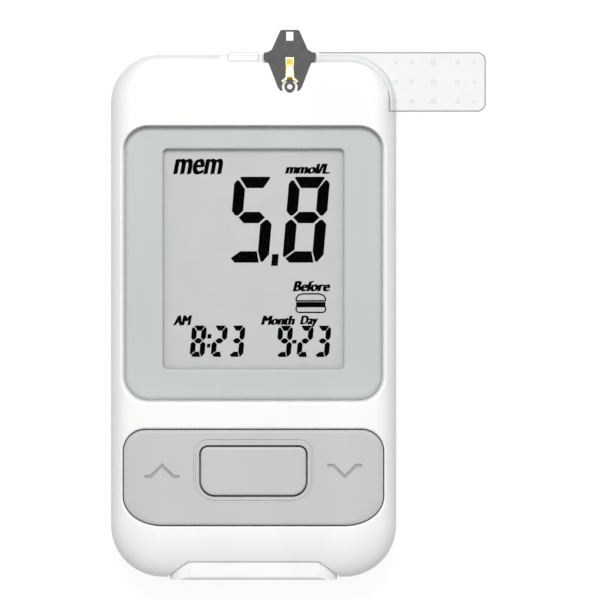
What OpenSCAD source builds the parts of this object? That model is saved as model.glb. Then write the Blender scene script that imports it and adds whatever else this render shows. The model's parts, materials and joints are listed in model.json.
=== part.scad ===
// Blood glucose meter with a test strip in its top end, lying on its back with the display up.
// +Z points out of the display, +Y to the strip end. The origin is on the rest face, at the
// middle of the two shells. All lengths are in millimetres.

/* [Body] */
// Width of the two shells
body_w = 52; // [50:0.5:58]
// Length of the two shells
body_l = 95.1; // [94:0.1:104]
// Height from the rest face to the front face
body_h = 16; // [15.5:0.25:18]
// Height of the parting line between the shells
split_h = 7; // [6.9:0.1:7.4]
// Plan radius of the corners at the strip end
top_corner_r = 8.8; // [7.5:0.1:10]
// Plan radius of the corners at the battery end
low_corner_r = 9.5; // [8.5:0.1:10.4]
// Depth of the rolled edge round the front face
roll_h = 5; // [4:0.1:5.5]
// How far the front edge rolls in along the sides
side_roll = 4; // [3:0.1:4.4]
// How far the front edge rolls in at the strip end
top_roll = 1.2; // [0.8:0.1:1.8]
// How far the front face slopes away at the battery end
chin_roll = 9.2; // [8:0.1:9.6]
// Plan radius left on the front face at the battery end
chin_corner_r = 4.5; // [3.5:0.1:6]
// Radius of the rolled edge round the rest face
rear_roll = 3; // [2.2:0.1:3.4]
// Wall of both shells
wall_t = 1.6; // [1.4:0.05:1.8]
// Floor of the rear shell
floor_t = 1.6; // [1.5:0.05:1.8]
// Height of the tongue of the rear shell inside the front shell
tongue_h = 1.2; // [0.8:0.1:1.5]
// Width and depth of the groove along the parting line
parting_groove = 0.25; // [0.15:0.05:0.35]

/* [Display] */
// Face left beside the display frame on each side
bezel_side_gap = 2.5; // [2.1:0.05:3]
// From the strip end of the body to the display frame
bezel_top_gap = 13.1; // [12.8:0.1:14]
// Corner radius of the display frame
bezel_r = 4.4; // [3:0.1:5.5]
// Thickness of the display frame
bezel_t = 1; // [0.9:0.05:1.3]
// How far the display frame is sunk below the front face
bezel_sink = 1.7; // [1.3:0.05:1.8]
// Width of the ledge that carries the display frame
bezel_ledge_w = 1.8; // [1.5:0.05:2]
// Thickness of that ledge
bezel_ledge_t = 1; // [0.8:0.05:1.3]
// Radius of the locating pins under the display frame
bezel_pin_r = 0.5; // [0.4:0.05:0.6]
// Width of the display frame beside the viewing opening
view_side_gap = 7.1; // [7:0.05:8.5]
// From the top of the display frame to the viewing opening
view_top_gap = 4.1; // [4:0.1:4.8]
// From the viewing opening to the bottom of the display frame
view_low_gap = 5.7; // [5.5:0.1:7]
// Corner radius of the viewing opening
view_r = 0.8; // [0.4:0.1:1.5]
// Thickness of the clear window
window_t = 0.5; // [0.4:0.05:0.6]
// Overlap of the window behind the frame
window_lap = 1.1; // [0.8:0.05:1.3]
// Thickness of the foam gasket behind the window
gasket_t = 0.3; // [0.2:0.05:0.4]
// Thickness of the liquid crystal glass
lcd_t = 1.6; // [1.3:0.05:1.8]
// Overlap of the liquid crystal glass round the opening
lcd_lap = 1.3; // [1.2:0.05:1.4]
// Thickness of the white diffuser under the glass
diffuser_t = 0.3; // [0.2:0.05:0.4]
// Wall of the display holder
holder_wall = 0.7; // [0.6:0.05:0.75]
// Width of the rubber contact strips
zebra_w = 1.8; // [1.4:0.1:2]

/* [Keys] */
// Face left beside the rocker key on each side
rocker_side_gap = 2.5; // [2.2:0.05:3]
// Length of the rocker key along the body
rocker_l = 17.2; // [17:0.1:18]
// Length of the chin between the rocker key and the battery end
chin_l = 9.63; // [9:0.01:10.5]
// Gap between the display frame and the rocker key
rocker_gap_y = 5.37; // [5:0.01:5.5]
// Thickness of the rocker plate
rocker_t = 2; // [1.7:0.05:2.1]
// Radius of the rocker's corners near the display
rocker_top_r = 3.9; // [3:0.1:5]
// Reach of the rocker's lower corners along its edge
rocker_low_rx = 6.9; // [5:0.1:10]
// Reach of the rocker's lower corners along its ends
rocker_low_ry = 5.1; // [4:0.1:7]
// How far the rocker's top lies below the front face
rocker_sink = 0.1; // [0.05:0.05:0.3]
// Tilt of the rocker to each side, in degrees
rocker_tilt = 1.2; // [0.8:0.1:1.3]
// How far the rocker's pivot pins hang below its plate
pivot_drop = 1.4; // [1.3:0.05:1.6]
// Radius of the rocker's pivot pins
pivot_r = 0.6; // [0.5:0.05:0.7]
// Length of the pivot pins in their bearings
pivot_l = 1.1; // [0.8:0.05:1.2]
// Thickness of the bar that guides the centre key's stem
guide_t = 0.7; // [0.6:0.05:0.9]
// Width of the centre key
key_w = 19; // [17:0.1:21]
// Length of the centre key
key_l = 8.66; // [8:0.02:9.5]
// From the top edge of the rocker to the centre key
key_top_gap = 3.1; // [2.8:0.02:3.4]
// Travel of the centre key
key_travel = 0.4; // [0.3:0.05:0.4]
// Reach of the retaining flange round the centre key
key_flange = 1.1; // [0.8:0.05:1.2]
// Radius of the stem below the centre key
key_stem_r = 1.7; // [1.4:0.05:2]
// From the ends of the rocker to the arrow marks and side switches
arrow_inset = 6.95; // [6:0.05:7.6]
// Width of the engraved line of the arrow marks
arrow_line = 0.55; // [0.4:0.05:0.7]
// Depth of the engraved arrow marks
arrow_depth = 0.2; // [0.15:0.05:0.3]
// Distance of the shallow groove round the centre key's opening from the key
groove_gap = 1.15; // [1:0.05:1.4]
// Width of that groove
groove_w = 0.6; // [0.4:0.05:0.8]
// Depth of that groove
groove_depth = 0.2; // [0.1:0.05:0.25]

/* [Test strip] */
// Distance of the strip's middle line from the middle of the body
strip_x = 6.6; // [5.5:0.1:7]
// Length of the dark strip plate
strip_l = 10.98; // [10.5:0.02:11.4]
// Width of the strip plate across its ears
strip_w = 9.5; // [9:0.1:10]
// How far the strip plate stands out of the strip end
strip_out = 4.4; // [4:0.05:4.8]
// Thickness of the strip plate
strip_t = 0.8; // [0.7:0.05:0.85]
// Thickness of the gold track
track_t = 0.2; // [0.1:0.05:0.3]
// Thickness of the clear carrier
carrier_t = 1; // [0.8:0.05:1.1]
// Width of the carrier's bar across the strip end
bar_w = 1.8; // [1.6:0.05:1.9]
// How far the tab stands out beyond the side of the body
tab_out = 16.25; // [14:0.25:20]
// Width of the tab that stands out to the side
tab_w = 10.9; // [10:0.1:12]
// Corner radius of the tab
tab_r = 1.6; // [1:0.1:2.4]
// Width of the ledge for the carrier round the strip end
ledge_w = 1.6; // [1.5:0.05:1.75]
// Depth of that ledge below the front face
ledge_depth = 2; // [1.95:0.05:2.1]
// Radius of the ring at the strip's inner end
ring_r = 0.98; // [0.9:0.01:1]

/* [Battery] */
// Diameter of the coin cells
cell_d = 20; // [19.8:0.05:20.1]
// Thickness of the coin cells
cell_t = 3.2; // [2.5:0.1:3.2]
// Gap between the two coin cells
cell_gap = 0.7; // [0.6:0.05:0.8]
// Width of the battery door on the inside
door_w = 30.8; // [29:0.1:31]
// Thickness of the battery door
door_t = 1.3; // [1.1:0.05:1.35]
// Inward slope of the door's edges over its thickness
door_slope = 0.8; // [0.5:0.05:1]
// Depth of the notch that the door's end lip fills
notch_depth = 3; // [2.8:0.05:3.2]
// Width of the notch in the front shell at its bottom
notch_w = 23.6; // [22:0.1:25]
// How far the door's end lip stands proud
lip_proud = 0.45; // [0.3:0.05:0.6]
// Height of the lip's flat top
lip_top = 13.2; // [12.5:0.1:13.6]
// Height of the lip's edges, at the foot of its rounded shoulders
lip_edge = 9.9; // [9:0.1:10.5]
// Width of each rounded shoulder of the lip
lip_shoulder = 4.2; // [3:0.1:5]
// Radius along the lip's outer edge
lip_roll = 0.8; // [0.6:0.1:1.4]
// Wall of the battery cups
cup_wall = 1.2; // [1:0.05:1.4]

/* [Board] */
// Side of the microcontroller
mcu_side = 10; // [8:0.5:11]
// Height of the microcontroller
mcu_h = 1.4; // [1:0.1:1.8]
// Width of the radio module
radio_w = 9; // [7:0.5:10]
// Length of the radio module
radio_l = 10; // [8:0.5:11]
// Height of the radio module
radio_h = 1.8; // [1.4:0.1:2.2]
// Thickness of the circuit board
board_t = 1; // [0.8:0.05:1.1]
// Height of the board above the parting line
board_lift = 0.4; // [0.3:0.05:0.5]
// Side of the square key switches
switch_w = 4.6; // [4.2:0.1:5]
// Height of the key switches
switch_h = 1.6; // [1.5:0.05:1.7]
// Radius of the switch plungers
plunger_r = 1.15; // [1:0.05:1.3]
// Diameter of the sounder
buzzer_d = 12; // [10:0.5:13]
// Height of the sounder
buzzer_h = 3; // [2.5:0.1:4]

/* [Screws] */
// Radius of the case screw shank
screw_r = 0.8; // [0.7:0.05:0.9]
// Radius of the case screw head
head_r = 1.55; // [1.4:0.05:1.7]
// Height of the screw heads
head_h = 1; // [0.8:0.05:1.2]
// Distance of the case screws from the sides of the body
screw_inset_x = 6; // [5.6:0.05:6.2]
// Distance of the case screws from the ends of the body
screw_inset_y = 6.4; // [6:0.05:6.6]
// Radius of the screw bosses
boss_r = 2.4; // [2.2:0.05:2.5]

/* [Clearances] */
// Gap round pieces that are pressed or laid into a pocket
fit_gap = 0.1; // [0.08:0.01:0.14]
// Gap round the display frame in its pocket
bezel_gap = 0.2; // [0.15:0.01:0.25]
// Gap round the sliding door and the inserted strip
slide_gap = 0.15; // [0.12:0.01:0.2]
// Gap round the rocker key in the front shell
rocker_gap = 0.25; // [0.22:0.01:0.32]
// Gap round the centre key in the rocker
key_gap = 0.35; // [0.3:0.01:0.4]
// Radial running gap of the pivot pins and the key stem
run_gap = 0.05; // [0.03:0.01:0.08]

/* [Hidden] */

// Overshoot of cutting tools past the faces they open, and overlap of solids that are one piece
cut = 1;
seam = 0.05;
// Points per quarter of a rounded corner, and steps of a rolled edge
arc_steps = 12;
roll_steps = 10;
key_roll_steps = 4;
$fn = 48;

// Heights
board_z = split_h + board_lift;
board_top = board_z + board_t;
bezel_top = body_h - bezel_sink;
bezel_z = bezel_top - bezel_t;
ceiling_h = bezel_z - bezel_ledge_t;
window_z = bezel_z;
gasket_z = window_z - gasket_t;
lcd_z = gasket_z - lcd_t;
diffuser_z = lcd_z - diffuser_t;
rocker_top = body_h - rocker_sink;
rocker_z = rocker_top - rocker_t;
pivot_h = rocker_z - pivot_drop;
ledge_z = body_h - ledge_depth;
carrier_z = ledge_z + run_gap;
carrier_top = carrier_z + carrier_t;
well_z = carrier_top - run_gap;
strip_top = carrier_top + strip_t;

// Floor and dome of the key switches; a full press leaves a plunger just above its dome
switch_floor = switch_h / 2;
dome_h = switch_h * 0.1375;
press_gap = 0.03;
plunger_z = board_top + switch_floor + dome_h + key_travel + press_gap;

// Thicknesses and lengths inside the casing
face_t = 1.8;
screw_reach = 4.6;
board_screw_r = 0.6;
thread_gap = 0.02;

// Plan positions: the rocker lies behind the chin, and the display frame fills what is left
bezel_w = body_w - 2 * bezel_side_gap;
rocker_w = body_w - 2 * rocker_side_gap;
view_w = bezel_w - 2 * view_side_gap;
arrow_x = rocker_w / 2 - arrow_inset;
rocker_y0 = -body_l / 2 + chin_l;
rocker_y1 = rocker_y0 + rocker_l;
bezel_y0 = rocker_y1 + rocker_gap_y;
bezel_y1 = body_l / 2 - bezel_top_gap;
bezel_l = bezel_y1 - bezel_y0;
view_y0 = bezel_y0 + view_low_gap;
view_y1 = bezel_y1 - view_top_gap;
view_l = view_y1 - view_y0;
key_y1 = rocker_y1 - key_top_gap;
key_y0 = key_y1 - key_l;
key_y = (key_y0 + key_y1) / 2;
arrow_y = key_y;
screw_x = body_w / 2 - screw_inset_x;
screw_y = body_l / 2 - screw_inset_y;
screw_places = [[screw_x, screw_y], [-screw_x, screw_y], [screw_x, -screw_y], [-screw_x, -screw_y]];

// Notch in the battery end, and the battery bay behind it
notch_y = -body_l / 2 + notch_depth;
notch_wall_t = 1.4;
bay_y0 = notch_y + notch_wall_t;
cell_r = cell_d / 2;
cup_r = cell_r + slide_gap;
cell_low_y = bay_y0 + 0.1 + cup_r;
cell_high_y = cell_low_y + cell_d + cell_gap;
cell_places = [cell_low_y, cell_high_y];
door_end_high_y = cell_high_y + cup_r + 0.05;
door_z = 0.15;
door_top_z = door_z + door_t;
cell_z = floor_t;
cup_ceiling = cell_z + cell_t + 0.7;
cup_top = cup_ceiling + 0.8;
bay_plate_t = 1.2;
lip_w = door_w;
lip_end_y = -body_l / 2 - lip_proud;
lip_inner_y = notch_y - slide_gap;
lip_skin = 1.4;
lip_corner = 1.2;

// Closed outline of a plate with elliptical corners, anticlockwise from its right side
function corner_points(cx, cy, rx, ry, start) = [
    for (i = [0:arc_steps]) let (a = start + 90 * i / arc_steps) [cx + rx * cos(a), cy + ry * sin(a)]
];
function outline(x0, x1, y0, y1, top_r, low_r) = concat(
    corner_points(x1 - top_r[0], y1 - top_r[1], top_r[0], top_r[1], 0),
    corner_points(x0 + top_r[0], y1 - top_r[1], top_r[0], top_r[1], 90),
    corner_points(x0 + low_r[0], y0 + low_r[1], low_r[0], low_r[1], 180),
    corner_points(x1 - low_r[0], y0 + low_r[1], low_r[0], low_r[1], 270)
);
function even(r) = [r, r];

// Outline of the body drawn in by an inset
function body_outline(inset) = outline(
    -body_w / 2 + inset, body_w / 2 - inset, -body_l / 2 + inset, body_l / 2 - inset,
    even(top_corner_r - inset), even(low_corner_r - inset)
);

// Outline of the display frame, the viewing opening, the rocker and the centre key, grown by g
function bezel_outline(g) = outline(
    -bezel_w / 2 - g, bezel_w / 2 + g, bezel_y0 - g, bezel_y1 + g, even(bezel_r + g), even(bezel_r + g)
);
function view_outline(g) = outline(
    -view_w / 2 - g, view_w / 2 + g, view_y0 - g, view_y1 + g,
    even(max(view_r + g, 0.2)), even(max(view_r + g, 0.2))
);
function rocker_outline(g, side, end) = outline(
    -rocker_w / 2 - g + side, rocker_w / 2 + g - side, rocker_y0 - g + end, rocker_y1 + g - end,
    [rocker_top_r + g - side, rocker_top_r + g - end], [rocker_low_rx + g - side, rocker_low_ry + g - end]
);
key_top_r = 1.3;
key_low_r = 2.5;
function key_outline(g) = outline(
    -key_w / 2 - g, key_w / 2 + g, key_y0 - g, key_y1 + g, even(key_top_r + g), even(key_low_r + g)
);

// Solid through a stack of outlines that have the same number of points
module loft(rings, heights) {
    n = len(rings[0]);
    levels = len(rings);
    points = [for (k = [0:levels - 1]) for (p = rings[k]) [p[0], p[1], heights[k]]];
    sides = [
        for (k = [0:levels - 2]) for (i = [0:n - 1]) let (
            a = k * n + i,
            b = k * n + (i + 1) % n
        ) each [[a, a + n, b + n], [a, b + n, b]]
    ];
    base = [for (i = [0:n - 1]) i];
    lid = [for (i = [n - 1:-1:0]) (levels - 1) * n + i];
    polyhedron(points = points, faces = concat(sides, [base, lid]), convexity = 6);
}

// Straight-sided plate of an outline between two heights
module slab(points, z0, z1) {
    translate([0, 0, z0]) linear_extrude(height = z1 - z0) polygon(points);
}

// Block between two corners
module block(low, high) {
    translate(low) cube(high - low);
}

// Outer form of the front shell: straight sides, then an edge that rolls in to the front face
function front_ring(a) = let (s = 1 - cos(a)) outline(
    -body_w / 2 + side_roll * s, body_w / 2 - side_roll * s,
    -body_l / 2 + chin_roll * s, body_l / 2 - top_roll * s,
    [top_corner_r - side_roll * s, top_corner_r - top_roll * s],
    [low_corner_r - side_roll * s, low_corner_r * (1 - s) + chin_corner_r * s]
);
module front_form() {
    angles = [for (i = [0:roll_steps]) 90 * i / roll_steps];
    loft(
        concat([body_outline(parting_groove), body_outline(0)], [for (a = angles) front_ring(a)]),
        concat([split_h, split_h + parting_groove], [for (a = angles) body_h - roll_h * (1 - sin(a))])
    );
}

// Outer form of the rear shell: a rolled edge round the rest face, then straight sides
module rear_form() {
    angles = [for (i = [roll_steps:-1:0]) 90 * i / roll_steps];
    loft(
        concat([for (a = angles) body_outline(rear_roll * (1 - cos(a)))],
            [body_outline(0), body_outline(parting_groove)]),
        concat([for (a = angles) rear_roll * (1 - sin(a))], [split_h - parting_groove, split_h])
    );
}

// Plan of the hollow inside both shells, which steps round the notch in the battery end
module hollow_plan(inset) {
    notch_inset = inset - wall_t + notch_wall_t;
    half = lip_w / 2 + slide_gap + notch_inset;
    difference() {
        polygon(body_outline(inset));
        translate([-half, -body_l / 2]) square([2 * half, notch_depth + notch_inset]);
    }
}

// Ledge for the clear carrier: outside an inset outline, from a slanted start on the strip end
// to the lower edge of the tab
ledge_start_x = -5.4;
ledge_slant = 1.4;
tab_y1 = body_l / 2 + bar_w - ledge_w + slide_gap * 1.5;
tab_y0 = tab_y1 - tab_w;
tab_reach = body_w / 2 + tab_out;
bar_y0 = tab_y1 - bar_w;
module ledge_plan() {
    difference() {
        polygon([
            [ledge_start_x, body_l / 2 - ledge_w - cut],
            [ledge_start_x, body_l / 2 - ledge_w],
            [ledge_start_x - ledge_slant, body_l / 2 + cut],
            [body_w / 2 + cut, body_l / 2 + cut],
            [body_w / 2 + cut, tab_y0 - slide_gap],
            [body_w / 2 - 2 * ledge_w, tab_y0 - slide_gap]
        ]);
        polygon(body_outline(ledge_w));
    }
}

// Dark plate of the strip: half outline, from the outer end down to the tip of one prong
strip_y1 = body_l / 2 + strip_out;
strip_y0 = strip_y1 - strip_l;
strip_end_half = 1.77;
ear_y1 = tab_y1 - 0.05;
ear_y0 = bar_y0 + 0.02;
prong_x = 1.2;
ring_y = strip_y0 + 0.68;
fork_r = ring_r + 0.47;
function strip_half(g) = [
    [strip_end_half - 0.27 + g, strip_y1 + g],
    [strip_end_half + g, strip_y1 - 0.2],
    [strip_end_half + 1.5 + g, ear_y1 + 0.45],
    [strip_w / 2 - 0.75, ear_y1 + g],
    [strip_w / 2 + g, ear_y1 - 0.15],
    [strip_w / 2 + g, ear_y0 + 0.3],
    [strip_w / 2 - 0.35, ear_y0 - g],
    [strip_w / 2 - 0.95 + g, ear_y0 - 0.15],
    [strip_end_half + 0.35 + g, strip_y0 + 0.7],
    [strip_end_half + g, strip_y0 + 0.15],
    [strip_end_half - 0.2, strip_y0 - g]
];
function mirrored(half) = concat(
    [for (p = half) [strip_x + p[0], p[1]]],
    [for (i = [len(half) - 1:-1:0]) [strip_x - half[i][0], half[i][1]]]
);

// Plan of the gold track: a stem with two arms that run round the ring
module track_plan() {
    stem_half = 0.75;
    stem_l = 3.9;
    arm_r = ring_r + 0.42;
    arm_w = 0.36;
    arm_from = 30;
    arm_to = 58;
    arm_steps = 4;
    arm_angles = [for (i = [0:arm_steps]) arm_from + (arm_to - arm_from) * i / arm_steps];
    right = concat(
        [for (i = [arm_steps:-1:0]) arm_r * [cos(arm_angles[i]), sin(arm_angles[i])]],
        [for (a = arm_angles) (arm_r + arm_w) * [cos(a), sin(a)]],
        [[stem_half, (arm_r + arm_w) * sin(arm_to) + 0.25], [stem_half, arm_r + stem_l]]
    );
    left = [for (i = [len(right) - 1:-1:0]) [-right[i][0], right[i][1]]];
    translate([strip_x, ring_y]) polygon(concat(right, left));
}

// Casing ------------------------------------------------------------------------------------

// Bearing ribs for the rocker's pivot pins, joined by a bar that guides the centre key's stem
rib_t = pivot_l + 0.6;
rib_w = 4.4;
guide_top = pivot_h - 2 * pivot_r;
guide_z = max(guide_top - guide_t, plunger_z + 0.3);
guide_w = 6.4;
rib_low_y = rocker_y0 - rocker_gap;
rib_high_y = rocker_y1 + rocker_gap;
module pivot_bearings() {
    block([-rib_w / 2, rib_low_y - rib_t, guide_z], [rib_w / 2, rib_low_y, ceiling_h + seam]);
    block([-rib_w / 2, rib_high_y, guide_z], [rib_w / 2, rib_high_y + rib_t, ceiling_h + seam]);
    block([-guide_w / 2, rib_low_y - rib_t, guide_z], [guide_w / 2, rib_high_y + rib_t, guide_top]);
}

// Bores for the pivot pins and for the centre key's stem
module pivot_bores() {
    translate([0, rib_low_y + cut, pivot_h]) rotate([90, 0, 0])
        cylinder(r = pivot_r + run_gap, h = cut + pivot_l + run_gap);
    translate([0, rib_high_y - cut, pivot_h]) rotate([-90, 0, 0])
        cylinder(r = pivot_r + run_gap, h = cut + pivot_l + run_gap);
    translate([0, key_y, guide_z - cut])
        cylinder(r = key_stem_r + run_gap, h = guide_top - guide_z + 2 * cut);
}

// Hollow for the connector under the strip's well, and slots in the well's floor for the three
// spring contacts, which rise to them in channels under the ring and its fork
connector_w = 9;
connector_y0 = bezel_y1 + wall_t;
connector_y1 = ring_y - 1.3;
connector_gap = 0.3;
well_skin = 1.2;
connector_top = well_z - well_skin - connector_gap;
contact_pitch = 1.7;
contact_w = 0.7;
contact_channel_y0 = ring_y - 0.9;
contact_slot_y0 = ring_y + fork_r + slide_gap;
contact_slot_y1 = contact_slot_y0 + 2.5;
contact_skin = 0.4;
contact_xs = [for (i = [-1:1]) strip_x + i * contact_pitch];
module contact_slots() {
    half = contact_w / 2 + 0.2;
    core_half = connector_w / 2 + connector_gap;
    block(
        [strip_x - core_half, connector_y0 - connector_gap, ceiling_h - cut],
        [strip_x + core_half, contact_slot_y0 + connector_gap, well_z - well_skin]
    );
    for (x = contact_xs) {
        block(
            [x - half, contact_channel_y0, ceiling_h - cut],
            [x + half, contact_slot_y1, well_z - contact_skin]
        );
        block([x - half, contact_slot_y0, ceiling_h - cut], [x + half, contact_slot_y1, body_h + cut]);
    }
}

bezel_pin_l = 0.9;
bezel_pin_places = [
    for (side = [-1, 1]) for (y = [bezel_y0 + bezel_l / 5, bezel_y1 - bezel_l / 5])
        [side * (bezel_w / 2 - bezel_ledge_w / 2), y]
];

// Opening in the front shell that shows the door's end lip, flared towards the battery end and
// drawn in by a gap
flare = lip_w / 2 + 0.1;
flare_y = -body_l / 2 + 0.35;
module notch_plan(gap) {
    run = flare - notch_w / 2;
    rise = notch_y - flare_y;
    shift = gap * norm([run, rise]) / rise;
    inner = notch_w / 2 + gap * run / rise - shift;
    polygon([
        [-inner, notch_y - gap],
        [inner, notch_y - gap],
        [flare - shift, flare_y],
        [flare - shift, -body_l / 2 - cut],
        [shift - flare, -body_l / 2 - cut],
        [shift - flare, flare_y]
    ]);
}

// Upper casing half with the display's pocket, the rocker's opening and the strip's ledge
module front_shell() {
    core_x0 = -screw_x + boss_r + 1.2;
    core_x1 = strip_x - strip_w / 2 - 2;
    core_y0 = bezel_y1 + wall_t;
    core_y1 = body_l / 2 - wall_t - top_roll - 0.6;
    color("white") difference() {
        union() {
            difference() {
                front_form();
                translate([0, 0, split_h - cut]) linear_extrude(height = ceiling_h - split_h + cut)
                    hollow_plan(wall_t);
                translate([0, 0, split_h - cut]) linear_extrude(height = tongue_h + fit_gap + cut)
                    hollow_plan(wall_t / 2);
                slab(bezel_outline(bezel_gap), bezel_z, body_h + cut);
                slab(bezel_outline(-bezel_ledge_w), ceiling_h - cut, body_h);
                slab(rocker_outline(rocker_gap, 0, 0), ceiling_h - cut, body_h + cut);
                block([core_x0, core_y0, ceiling_h - cut], [core_x1, core_y1, body_h - face_t]);
                translate([0, 0, ledge_z]) linear_extrude(height = ledge_depth + cut) ledge_plan();
                slab(mirrored(strip_half(slide_gap)), well_z, body_h + cut);
                translate([strip_x, ring_y, well_z]) cylinder(r = ring_r + slide_gap, h = strip_t + cut);
                contact_slots();
                translate([0, 0, split_h - cut]) linear_extrude(height = body_h - split_h + 2 * cut)
                    notch_plan(0);
            }
            for (p = screw_places)
                translate([p[0], p[1], split_h])
                    cylinder(r = boss_r, h = ceiling_h + seam - split_h);
            pivot_bearings();
        }
        pivot_bores();
        for (p = screw_places)
            translate([p[0], p[1], split_h - cut])
                cylinder(r = screw_r + thread_gap, h = screw_reach + cut);
        for (p = bezel_pin_places)
            translate([p[0], p[1], ceiling_h - cut])
                cylinder(r = bezel_pin_r + run_gap, h = bezel_ledge_t + 2 * cut);
    }
}

// Slot in the rear shell for the dovetailed edges of the battery door
module door_section(grow, low, high) {
    half = door_w / 2 + grow;
    slope = door_slope / door_t;
    polygon([
        [-half + slope * (door_top_z - low), low],
        [half - slope * (door_top_z - low), low],
        [half, door_top_z],
        [half, high],
        [-half, high],
        [-half, door_top_z]
    ]);
}
module along_y(y0, y1) {
    translate([0, y1, 0]) rotate([90, 0, 0]) linear_extrude(height = y1 - y0) children();
}

// Two coin cell cups that open towards the battery door
contact_strip_w = 3;
leaf_t = 0.2;
spring_root = 6;
module cell_bay() {
    bay_rim = 1.2;
    plate_half = door_w / 2 + slide_gap + bay_rim;
    difference() {
        union() {
            block(
                [-plate_half, bay_y0 - seam, floor_t],
                [plate_half, door_end_high_y + slide_gap + bay_rim, floor_t + bay_plate_t]
            );
            for (y = cell_places)
                translate([0, y, floor_t]) cylinder(r = cup_r + cup_wall, h = cup_top - floor_t);
        }
        for (y = cell_places) {
            translate([0, y, floor_t - cut]) cylinder(r = cup_r, h = cup_ceiling - floor_t + cut);
            block(
                [-contact_strip_w / 2 - slide_gap, y - spring_root - slide_gap, cup_ceiling - cut],
                [contact_strip_w / 2 + slide_gap, y - spring_root + leaf_t + slide_gap, cup_top + cut]
            );
            block(
                [cell_r - slide_gap, y - contact_strip_w / 2 - slide_gap, floor_t + bay_plate_t],
                [cup_r + cup_wall + cut, y + contact_strip_w / 2 + slide_gap, cup_top + cut]
            );
        }
    }
}

board_head_r = 1.3;
board_screw_x = view_w / 2 + lcd_lap + fit_gap + holder_wall + board_head_r + 0.5;
board_screw_y = (view_y0 + view_y1) / 2 - view_w / 5;
board_screw_places = [
    [-board_screw_x, board_screw_y],
    [board_screw_x, board_screw_y],
    [-view_w / 5.5, view_y1 + lcd_lap + fit_gap + holder_wall + 2 * board_head_r]
];
post_r = 1.9;
head_seat_z = 2.7;
module rear_shell() {
    tower_r = boss_r + 0.3;
    color("white") difference() {
        union() {
            difference() {
                rear_form();
                translate([0, 0, floor_t]) linear_extrude(height = split_h - floor_t + cut)
                    hollow_plan(wall_t);
                block(
                    [-lip_w / 2 - slide_gap, -body_l / 2 - cut, -cut],
                    [lip_w / 2 + slide_gap, notch_y, split_h + cut]
                );
                along_y(-body_l / 2 - cut, door_end_high_y + slide_gap)
                    door_section(slide_gap, -cut, floor_t);
            }
            translate([0, 0, split_h - seam]) linear_extrude(height = tongue_h + seam) difference() {
                hollow_plan(wall_t / 2 + fit_gap);
                hollow_plan(wall_t);
            }
            cell_bay();
            for (p = screw_places)
                translate([p[0], p[1], floor_t - seam])
                    cylinder(r = tower_r, h = split_h - floor_t + seam);
            for (p = board_screw_places)
                translate([p[0], p[1], floor_t - seam]) cylinder(r = post_r, h = board_z - floor_t + seam);
        }
        for (p = screw_places) {
            translate([p[0], p[1], -cut]) cylinder(r = head_r + slide_gap, h = head_seat_z + cut);
            translate([p[0], p[1], -cut]) cylinder(r = screw_r + slide_gap, h = split_h + 2 * cut);
        }
        for (p = board_screw_places)
            translate([p[0], p[1], floor_t + 1]) cylinder(r = board_screw_r + thread_gap, h = split_h);
    }
}

// Side view of the door's end lip, with a rolled lower edge and a smaller roll along its top
module lip_side() {
    along = lip_inner_y - lip_end_y;
    translate([lip_end_y + rear_roll, rear_roll]) circle(r = rear_roll);
    translate([lip_end_y + rear_roll, 0]) square([cut, rear_roll]);
    translate([lip_end_y, rear_roll]) square([along, lip_top - lip_roll - rear_roll]);
    translate([lip_end_y + lip_roll, lip_top - lip_roll]) circle(r = lip_roll);
    translate([lip_end_y + lip_roll, rear_roll]) square([along - lip_roll, lip_top - rear_roll]);
}

// End view of the lip's upper part, whose flat top falls away in two rounded shoulders
module lip_face() {
    half = lip_w / 2;
    turns = [for (i = [0:roll_steps]) 90 * i / roll_steps];
    right = [for (a = turns) [
        half - lip_shoulder * (1 - cos(a)), lip_edge + (lip_top - lip_edge) * sin(a)
    ]];
    left = [for (i = [roll_steps:-1:0]) [-right[i][0], right[i][1]]];
    polygon(concat([[half, split_h - seam]], right, left, [[-half, split_h - seam]]));
}

// Flat door in dovetail rails, with a hollow lip that fills the notch in the battery end
module battery_door() {
    grip_count = 5;
    grip_pitch = 1.9;
    grip_w = 13;
    grip_cut = 0.8;
    grip_depth = 0.45;
    grip_y = lip_inner_y + 3;
    hollow_half = notch_w / 2 - lip_skin;
    color("white") difference() {
        union() {
            along_y(lip_inner_y - seam, door_end_high_y) door_section(0, door_z, door_top_z);
            intersection() {
                translate([-lip_w / 2, 0, 0]) rotate([90, 0, 90]) linear_extrude(lip_w) lip_side();
                union() {
                    slab(outline(
                        -lip_w / 2, lip_w / 2, lip_end_y, lip_inner_y + lip_corner,
                        even(lip_corner), even(lip_corner)
                    ), door_z, split_h);
                    intersection() {
                        translate([0, 0, split_h - seam]) linear_extrude(lip_top) notch_plan(slide_gap);
                        along_y(lip_end_y - cut, lip_inner_y + cut) lip_face();
                    }
                }
                block([-lip_w, lip_end_y - cut, 0], [lip_w, lip_inner_y, lip_top + cut]);
            }
        }
        block(
            [-lip_w / 2 + lip_skin, lip_end_y + lip_skin, door_top_z + 0.2],
            [lip_w / 2 - lip_skin, lip_inner_y + cut, split_h - lip_skin]
        );
        block(
            [-hollow_half, lip_end_y + lip_skin, door_top_z + 0.2],
            [hollow_half, lip_inner_y + cut, lip_top - lip_skin]
        );
        for (i = [0:grip_count - 1])
            block(
                [-grip_w / 2, grip_y + i * grip_pitch, -cut],
                [grip_w / 2, grip_y + i * grip_pitch + grip_cut, door_z + grip_depth]
            );
    }
}

// Display ------------------------------------------------------------------------------------

module display_bezel() {
    color("lightgray") {
        difference() {
            slab(bezel_outline(0), bezel_z, bezel_top);
            slab(view_outline(0), bezel_z - cut, bezel_top + cut);
            slab(view_outline(window_lap + fit_gap), bezel_z - cut, window_z + window_t);
        }
        for (p = bezel_pin_places)
            translate([p[0], p[1], bezel_z - bezel_pin_l])
                cylinder(r = bezel_pin_r, h = bezel_pin_l + seam);
    }
}

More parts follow.
